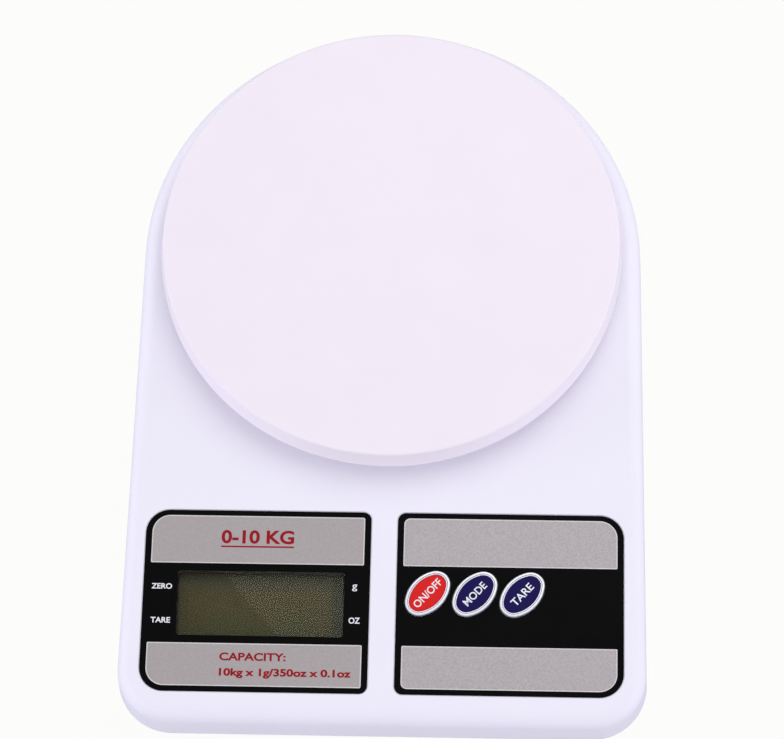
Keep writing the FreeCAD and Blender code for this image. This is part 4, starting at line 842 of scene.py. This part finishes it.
class BuildPlatform(bpy.types.Operator):
    """Round weighing platform"""

    bl_idname = "gram_scale.platform"
    bl_label = "Weighing platform"

    RIBS = 12
    HOOKS = 4

    def execute(self, context):
        s = sizes()
        low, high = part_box("platform")
        self.centre = (low + high) / 2
        self.radius = (high.x - low.x) / 2
        self.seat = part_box("platform_carrier")[0].z + s.carrier
        self.under = high.z - s.platform_plate
        bm = self.dish(high.z)
        bm = boolean(bm, "UNION", self.ribs())
        bm = boolean(bm, "UNION", self.hooks(low.z))
        white = moulded_plastic("platform plastic", colours().plate, 0.28, 0.4)
        piece("weighing_plate", bm, [white], "weighing_platform", ["platform"])
        return {"FINISHED"}

    def dish(self, top):
        """Plate, leaning rim and the two rings, turned in one profile."""
        s = sizes()
        radius, under = self.radius, self.under
        rim = top - s.platform_depth
        hub_low = under - s.inner_rib
        inner = radius - s.platform_rim
        slope = s.platform_taper / s.platform_depth
        bm = bmesh.new()
        turned(bm, self.centre, [
            (0, top), (radius - s.platform_taper, top), (radius, rim), (inner, rim),
            (inner - slope * (under - rim), under),
            (s.seat_ring, under), (s.seat_ring, self.seat),
            (s.seat_ring - s.ring_wall, self.seat), (s.seat_ring - s.ring_wall, under),
            (s.hub_ring, under), (s.hub_ring, hub_low),
            (s.hub_ring - s.ring_wall, hub_low), (s.hub_ring - s.ring_wall, under),
            (0, under),
        ], PLATFORM_STEPS)
        upper = round_edges(bm, self.centre, radius - s.platform_taper, top)
        bevel(bm, upper, s.platform_edge, segments=8)
        rim_edges = round_edges(bm, self.centre, radius, rim)
        rim_edges += round_edges(bm, self.centre, inner, rim)
        bevel(bm, rim_edges, s.rim_round, segments=3)
        return bm

    def spoke(self, bm, start, end, width, low, high, degrees):
        """A radial block under the plate."""
        made = bmesh.ops.create_cube(bm, size=1)["verts"]
        middle = Vector(((start + end) / 2, 0, (low + high) / 2))
        place = (Matrix.Translation((self.centre.x, self.centre.y, 0))
                 @ Matrix.Rotation(math.radians(degrees), 4, "Z")
                 @ Matrix.Translation(middle)
                 @ Matrix.Diagonal((end - start, width, high - low, 1)))
        bmesh.ops.transform(bm, matrix=place, verts=made)

    def ribs(self):
        """Spokes inside and outside the seat ring."""
        s = sizes()
        bm = bmesh.new()
        into = self.under + s.platform_plate / 2
        hub = s.hub_ring - s.ring_wall / 2
        seat = s.seat_ring - s.ring_wall / 2
        rim = self.radius - s.platform_taper / 2 - s.platform_rim / 2
        for step in range(self.RIBS):
            degrees = (step + 0.5) * 360 / self.RIBS
            self.spoke(bm, hub, seat - OVERLAP, s.rib, self.under - s.inner_rib, into, degrees)
            self.spoke(bm, seat + OVERLAP, rim, s.rib, self.under - s.outer_rib, into, degrees)
        return bm

    def hooks(self, low):
        """Snap hooks that reach round and under the carrier's rim."""
        s = sizes()
        near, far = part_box("platform_carrier")
        inner = (far.x - near.x) / 2 + s.hook_gap
        into = self.under + s.platform_plate / 2
        bm = bmesh.new()
        for step in range(self.HOOKS):
            degrees = (step + 0.5) * 360 / self.HOOKS
            self.spoke(bm, inner, inner + s.hook_wall, s.hook_width, low, into, degrees)
            self.spoke(bm, inner - s.hook_barb, inner + s.hook_wall / 2, s.hook_width - HAIR,
                       low, near.z, degrees)
        return bm


class BuildLabels(bpy.types.Operator):
    """Black films with silver bands and print on the front of the housing"""

    bl_idname = "gram_scale.labels"
    bl_label = "Labels"

    # bands between heights above the label's front edge, in millimetres
    BANDS = {"rear": (41.4, 57.05), "front": (1.75, 15.5)}
    # the heading's underline, from and to, measured like the words
    UNDERLINE = ((23.8, 46.7), (46.6, 47.2))
    # words in boxes from the label's front left corner, in millimetres, with their weight
    WORDS = (
        ("heading", "0-10 KG", (23.8, 47.9), (46.6, 52.4), "red", 0.03),
        ("zero_mark", "ZERO", (2.6, 32.8), (9.0, 34.6), "white", 0.02),
        ("tare_mark", "TARE", (2.8, 21.8), (8.9, 23.6), "white", 0.02),
        ("gram_mark", "g", (65.2, 32.9), (66.8, 35.1), "white", 0.005),
        ("ounce_mark", "OZ", (64.4, 22.4), (67.9, 24.4), "white", 0.02),
        ("capacity_line", "CAPACITY:", (24.7, 9.9), (45.3, 12.5), "red", 0.03),
        ("range_line", "10kg x 1g/350oz x 0.1oz", (24.8, 4.3), (65.6, 7.5), "red", 0.036),
    )

    def execute(self, context):
        c = colours()
        self.inks = {
            "red": ink("red print", c.red_print),
            "white": ink("white print", c.white_print),
        }
        self.label("display", "display_label", -1)
        self.label("button", "button_label", 1)
        self.print_words()
        return {"FINISHED"}

    def label(self, name, node, side):
        """The finish of a label's film, and a silver band at its rear and front."""
        s = sizes()
        c = colours()
        low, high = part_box(node)
        finish_node(node, film("label film", c.film))
        z = high.z
        if side < 0:
            silver = silver_print(f"{name} silver", c.left_silver, 0.06)
            inner = s.inner_corner - s.film_border
        else:
            silver = silver_print(f"{name} silver", c.right_silver, 0.11)
            inner = s.band_corner
        pale = silver_print("band outline", c.outline, 0.1)
        for band, (front, rear) in self.BANDS.items():
            y = (low.y + front * MM, low.y + rear * MM)
            x = (low.x + s.film_border, high.x - s.film_border)
            outer = s.outer_corner - s.film_border
            for layer, (inset, material) in enumerate(((0, pale), (s.band_outline, silver))):
                radii = label_radii(side, outer, inner)
                square = (0, 1) if band == "rear" else (2, 3)
                for corner in square:
                    radii[corner] = s.band_outline + HAIR
                bm = bmesh.new()
                base = z + layer * s.print_step
                ends = []
                for height in (base, base + s.print_step):
                    ends.append(rounded_loop(
                        bm, (x[0] + inset, y[0] + inset), (x[1] - inset, y[1] - inset),
                        [r - inset for r in radii], height))
                prism(bm, *ends)
                outward(bm)
                part = "outline" if layer == 0 else "band"
                piece(f"{name}_{band}_{part}", bm, [material], "case")

    def print_words(self):
        """The display label's words and the line under its heading."""
        s = sizes()
        low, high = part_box("display_label")
        on_band = high.z + 2 * s.print_step

        def spot(place):
            return low.x + place[0] * MM, low.y + place[1] * MM

        for name, text, near, far, tint, weight in self.WORDS:
            z = on_band if tint == "red" else high.z
            lettering(name, text, spot(near), spot(far), z, self.inks[tint], "case",
                      weight)
        near, far = self.UNDERLINE
        bm = bmesh.new()
        block(bm, (*spot(near), on_band), (*spot(far), on_band + s.print_step))
        piece("heading_underline", bm, [self.inks["red"]], "case")


class BuildDisplay(bpy.types.Operator):
    """Display window and the display under it"""

    bl_idname = "gram_scale.display"
    bl_label = "Display"

    def execute(self, context):
        finish_node("lcd_panel", display_glass("display glass", colours().glass))
        self.window()
        return {"FINISHED"}

    def window(self):
        """Clear pane with blackened sides and a blackened flange under the housing."""
        s = sizes()
        low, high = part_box("display_window")
        shoulder = low.z + s.flange_height
        near, far = window_corners()
        radii = [s.window_corner] * 4
        pane = bmesh.new()
        prism(pane, rounded_loop(pane, near, far, radii, low.z + s.flange_height / 2),
              rounded_loop(pane, near, far, radii, high.z))
        flange = bmesh.new()
        block(flange, low, (high.x, high.y, shoulder))
        bm = boolean(flange, "UNION", pane)
        outward(bm)
        bottom = flat_face(bm, -1, low.z)
        bmesh.ops.inset_region(
            bm, faces=[bottom], thickness=s.flange + OVERLAP, use_even_offset=True)
        clear = {flat_face(bm, -1, low.z), flat_face(bm, 1, high.z)}
        for face in bm.faces:
            face.material_index = 0 if face in clear else 1
        materials = [clear_pane("clear acrylic"), film("window sides", colours().window_side)]
        piece("window_pane", bm, materials, "case", ["display_window"])


class BuildKeys(bpy.types.Operator):
    """Oval keys with a bright ring, a coloured face and a white word"""

    bl_idname = "gram_scale.keys"
    bl_label = "Keys"

    # each key's word and its length in millimetres
    WORDS = {"power": ("ON/OFF", 11.4), "mode": ("MODE", 9.0), "tare": ("TARE", 8.6)}
    WORD_HEIGHT = 2.5 * MM
    WORD_WEIGHT = 0.012
    # parts of the ring from its edge inwards: width and drop in millimetres, and its material;
    # material 2 is the darker groove colour, painted shade in the groove and on the step down to
    # the face
    RING = (
        (0.4, 0, 0), (0.06, 0.12, 2), (0.14, 0, 2), (0.06, -0.09, 0), (0.2, 0, 0), (0.09, 0.22, 2),
    )

    def execute(self, context):
        s = sizes()
        c = colours()
        ring = bright_ring("key ring", c.ring)
        # painted shade: the groove's material is darker than the ring to stand in for the shade in
        # the groove
        groove = bright_ring("key groove", c.groove)
        white = ink("white print", c.white_print)
        dish = sum(drop for _, drop, _ in self.RING) * MM
        for key in KEYS:
            tint, slot = (c.red_key, "red_key") if key == "power" else (c.navy_key, "navy_key")
            face = key_face(f"{slot} face", tint)
            low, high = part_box(f"{key}_key")
            centre = (low + high) / 2
            bm = bmesh.new()
            prism(bm, oval_loop(bm, centre, 0, low.z), oval_loop(bm, centre, 0, high.z))
            outward(bm)
            bevel(bm, flat_face(bm, 1, high.z).edges, s.key_edge, segments=4)
            top = flat_face(bm, 1, high.z)
            for width, drop, index in self.RING:
                made = bmesh.ops.inset_region(
                    bm, faces=[top], thickness=width * MM, depth=-drop * MM, use_even_offset=True)
                for part in made["faces"]:
                    part.material_index = index
            top.material_index = 1
            piece(f"{key}_keycap", bm, [ring, face, groove], f"{key}_button",
                  [f"{key}_key"])
            word, reach = self.WORDS[key]
            half = Vector((reach * MM / 2, self.WORD_HEIGHT / 2))
            lettering(f"{key}_word", word, centre.xy - half, centre.xy + half,
                      high.z - dish, white, f"{key}_button", self.WORD_WEIGHT, s.key_turn)
        return {"FINISHED"}


class BuildUnderside(bpy.types.Operator):
    """Bottom cover, battery door, feet and screws"""

    bl_idname = "gram_scale.underside"
    bl_label = "Underside"

    # screws, their CAD node, and the length, width and depth of their recess in millimetres
    SCREWS = (
        ("housing_screws", "case_screws", (3.2, 0.8, 1.0)),
        ("beam_screws", "load_cell_screws", (4.4, 1.1, 1.4)),
    )

    def execute(self, context):
        c = colours()
        white = moulded_plastic("cover plastic", c.shell, 0.34, 0.48)
        piece("lower_cover", merged("bottom_cover"), [white], "case",
              ["bottom_cover"])
        piece("battery_hatch_door", merged("battery_door"), [white], "battery_hatch",
              ["battery_door"])
        piece("feet", merged("rubber_feet"), [rubber("foot rubber", c.rubber)], "case",
              ["rubber_feet"])
        for name, node, recess in self.SCREWS:
            bm = screws_with_recess(node, *[value * MM for value in recess])
            piece(name, bm, [plated_steel()], "case", [node])
        return {"FINISHED"}


class BuildLoadCell(bpy.types.Operator):
    """Load cell and its gauge covers, cut across the thin part of the beam, where the real beam
    bends as the platform goes down
    """

    bl_idname = "gram_scale.load_cell"
    bl_label = "Load cell"

    SECTIONS = 6                 # cuts across each half of the thin part, where the beam bends

    def execute(self, context):
        low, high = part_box("load_cell")
        middle = (low + high) / 2
        reach = Vector((sizes().beam_flexure, 0, 0))
        parts = (
            ("beam", "load_cell", "beam_aluminium",
             metal("beam aluminium", (0.74, 0.75, 0.77), 0.3, 0.45, ALONG_BEAM)),
            ("gauge_covers", "gauge_coats", "gauge_silicone",
             rubber("gauge silicone", (0.75, 0.76, 0.74))),
        )
        for name, node, slot, material in parts:
            bm = merged(node)
            for step in range(-self.SECTIONS, self.SECTIONS + 1):
                bmesh.ops.bisect_plane(
                    bm, geom=bm.verts[:] + bm.edges[:] + bm.faces[:],
                    plane_co=middle + reach * step / self.SECTIONS, plane_no=reach)
            made = piece(name, bm, [material], None, [node])
            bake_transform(made)
        return {"FINISHED"}


class FinishInnerParts(bpy.types.Operator):
    """Materials for the parts inside the housing"""

    bl_idname = "gram_scale.inner_parts"
    bl_label = "Inner parts"

    def execute(self, context):
        nickel = metal("nickel", (0.62, 0.58, 0.5), 0.2, 0.35, EVEN)
        plunger = moulded_plastic("plunger plastic", (0.2, 0.2, 0.21), *INNER_ROUGHNESS)
        finishes = {
            "lcd_contact_strips": rubber("conductive rubber", (0.35, 0.35, 0.37)),
            "lcd_frame": moulded_plastic("frame plastic", (0.02, 0.02, 0.022), 0.4, 0.55),
            "main_board": moulded_plastic("board laminate", (0.02, 0.16, 0.05), 0.35, 0.5),
            "chip_blob": rubber("black epoxy", (0.012, 0.012, 0.014)),
            "board_screws": plated_steel(),
            "tact_switches": metal("switch steel", (0.5, 0.5, 0.52), 0.3, 0.45, EVEN),
            "carrier_screws": plated_steel(),
            "load_cell_cable": rubber("lead sleeve", (0.14, 0.14, 0.15)),
            "spacer_block": moulded_plastic(
                "spacer plastic", (0.7, 0.68, 0.72), *INNER_ROUGHNESS),
            "platform_carrier": moulded_plastic(
                "carrier plastic", (0.7, 0.68, 0.74), *INNER_ROUGHNESS),
            "battery_cells": cell_jacket("cell jacket", (0.05, 0.12, 0.3), (0.62, 0.62, 0.64)),
            "negative_contact": nickel,
            "positive_contact": nickel,
            "bridge_contact": nickel,
            "battery_leads": rubber("battery lead", (0.3, 0.03, 0.03)),
            **{f"{key}_plunger": plunger for key in KEYS},
        }
        for node, material in finishes.items():
            finish_node(node, material)
        return {"FINISHED"}


class BuildStage(bpy.types.Operator):
    """Pale floor, soft light and camera"""

    bl_idname = "gram_scale.stage"
    bl_label = "Stage"

    # name, colour, place and target in metres, width in metres and power in watts
    SOFTBOXES = (
        ("overhead softbox", "overhead_light", (0.2, 0.5, 0.95), (0, 0, 0), 0.9, 3.3),
        ("side softbox", "side_light", (-0.8, 0, 0.14), (0, 0, 0.01), 0.7, 2.9),
        ("side softbox", "side_light", (0.8, 0, 0.14), (0, 0, 0.01), 0.7, 2.4),
        ("front softbox", "side_light", (0, -1.0, 0.3), (0, 0, 0.02), 0.8, 2.7),
    )
    REFLECTED_ABOVE = 0.5        # softboxes lower than this, in metres, show in no reflection
    FILL = 0.9                   # strength of the light from below
    FLOOR_RADIUS = 6             # in metres
    FLOOR_SHOWN = 0.95           # share of the floor that the camera sees as plain white
    FLOOR_GAP = 0.1 * MM         # between the floor and the feet
    WORLD_LIGHT = (0.96, 0.945, 1, 1), 0.64      # colour and strength
    BACKDROP = WHITE, 0.98
    LENS, SENSOR = 155.97, 36    # in millimetres
    CAMERA_PLACE = (0.03728, -0.38915, 1.03308)  # in metres
    CAMERA_TURN = (20.984, 1.518, 1.402)         # in degrees

    def execute(self, context):
        self.floor()
        for softbox in self.SOFTBOXES:
            self.softbox(*softbox)
        self.fill_from_below()
        self.world()
        self.camera()
        return {"FINISHED"}

    def floor(self):
        """White as the camera sees it, but for the shadow, and open from below."""
        bm = bmesh.new()
        bmesh.ops.create_circle(bm, cap_ends=True, segments=96, radius=self.FLOOR_RADIUS)
        floor = mesh_object("floor", bm)
        floor.location.z = -self.FLOOR_GAP
        material = bpy.data.materials.new("floor")
        material.use_nodes = True
        tree = material.node_tree
        tree.nodes.clear()
        matt = add_node(tree, "BsdfDiffuse", {"Color": (*colours().floor, 1)})
        glow = add_node(tree, "Emission", {"Color": WHITE})
        camera_ray = add_node(tree, "LightPath").outputs["Is Camera Ray"]
        seen = add_node(tree, "Math", {0: camera_ray, 1: self.FLOOR_SHOWN}, operation="MULTIPLY")
        pale = shader_mix(tree, seen.outputs[0], matt, glow)
        below = add_node(tree, "NewGeometry").outputs["Backfacing"]
        either = shader_mix(tree, below, pale, add_node(tree, "BsdfTransparent"))
        add_node(tree, "OutputMaterial", {"Surface": either.outputs[0]})
        floor.data.materials.append(material)

    def fill_from_below(self):
        """Weak even light that reaches the underside through the floor."""
        lamp = bpy.data.lights.new("underside fill", "SUN")
        lamp.energy = self.FILL
        lamp.use_shadow = False
        scene_object("underside fill", lamp).rotation_euler = (math.pi, 0, 0)

    def softbox(self, name, tint, place, target, width, power):
        lamp = bpy.data.lights.new(name, "AREA")
        lamp.shape = "DISK"
        lamp.size = width
        lamp.energy = power
        lamp.color = getattr(colours(), tint)
        made = scene_object(name, lamp)
        made.location = place
        aim = Vector(target) - Vector(place)
        made.rotation_euler = aim.to_track_quat("-Z", "Y").to_euler()
        made.visible_glossy = place[2] > self.REFLECTED_ABOVE

    def world(self):
        """Even light, with a white backdrop for the camera, reflections and clear parts."""
        world = bpy.data.worlds.new("studio")
        world.use_nodes = True
        tree = world.node_tree
        tree.nodes.clear()
        path = add_node(tree, "LightPath").outputs
        seen = greatest(tree, path["Is Camera Ray"], path["Is Glossy Ray"],
                        path["Is Transmission Ray"])
        lit, shown = [
            add_node(tree, "Background", {"Color": tint, "Strength": strength})
            for tint, strength in (self.WORLD_LIGHT, self.BACKDROP)]
        mix = shader_mix(tree, seen, lit, shown)
        add_node(tree, "OutputWorld", {"Surface": mix.outputs[0]})
        bpy.context.scene.world = world

    def camera(self):
        lens = bpy.data.cameras.new("camera")
        lens.lens = self.LENS
        lens.sensor_width = self.SENSOR
        made = scene_object("camera", lens)
        made.location = self.CAMERA_PLACE
        made.rotation_euler = [math.radians(a) for a in self.CAMERA_TURN]
        bpy.context.scene.camera = made
        bpy.context.scene.view_settings.view_transform = "Standard"


class GramScalePanel(bpy.types.Panel):
    """The steps in order, then the sizes and colours"""

    bl_idname = "VIEW3D_PT_gram_scale"
    bl_label = "Gram scale"
    bl_space_type = "VIEW_3D"
    bl_region_type = "UI"
    bl_category = "Gram scale"

    def draw(self, context):
        for operator in OPERATORS:
            self.layout.operator(operator.bl_idname)
        for group in (context.scene.gram_scale_sizes, context.scene.gram_scale_colours):
            box = self.layout.box()
            for name in group.bl_rna.properties.keys():
                if name not in ("rna_type", "name"):
                    box.prop(group, name)


OPERATORS = (
    BuildHousing, BuildPlatform, BuildLabels, BuildDisplay, BuildKeys, BuildUnderside,
    BuildLoadCell, FinishInnerParts, BuildStage,
)
CLASSES = (GramScaleSizes, GramScaleColours, *OPERATORS, GramScalePanel)


def register():
    for cls in CLASSES:
        bpy.utils.register_class(cls)
    bpy.types.Scene.gram_scale_sizes = bpy.props.PointerProperty(type=GramScaleSizes)
    bpy.types.Scene.gram_scale_colours = bpy.props.PointerProperty(type=GramScaleColours)


def unregister():
    del bpy.types.Scene.gram_scale_colours
    del bpy.types.Scene.gram_scale_sizes
    for cls in reversed(CLASSES):
        bpy.utils.unregister_class(cls)


def main():
    register()
    bpy.ops.gram_scale.housing()
    bpy.ops.gram_scale.platform()
    bpy.ops.gram_scale.labels()
    bpy.ops.gram_scale.display()
    bpy.ops.gram_scale.keys()
    bpy.ops.gram_scale.underside()
    bpy.ops.gram_scale.load_cell()
    bpy.ops.gram_scale.inner_parts()
    bpy.ops.gram_scale.stage()


if __name__ == "__main__":
    main()
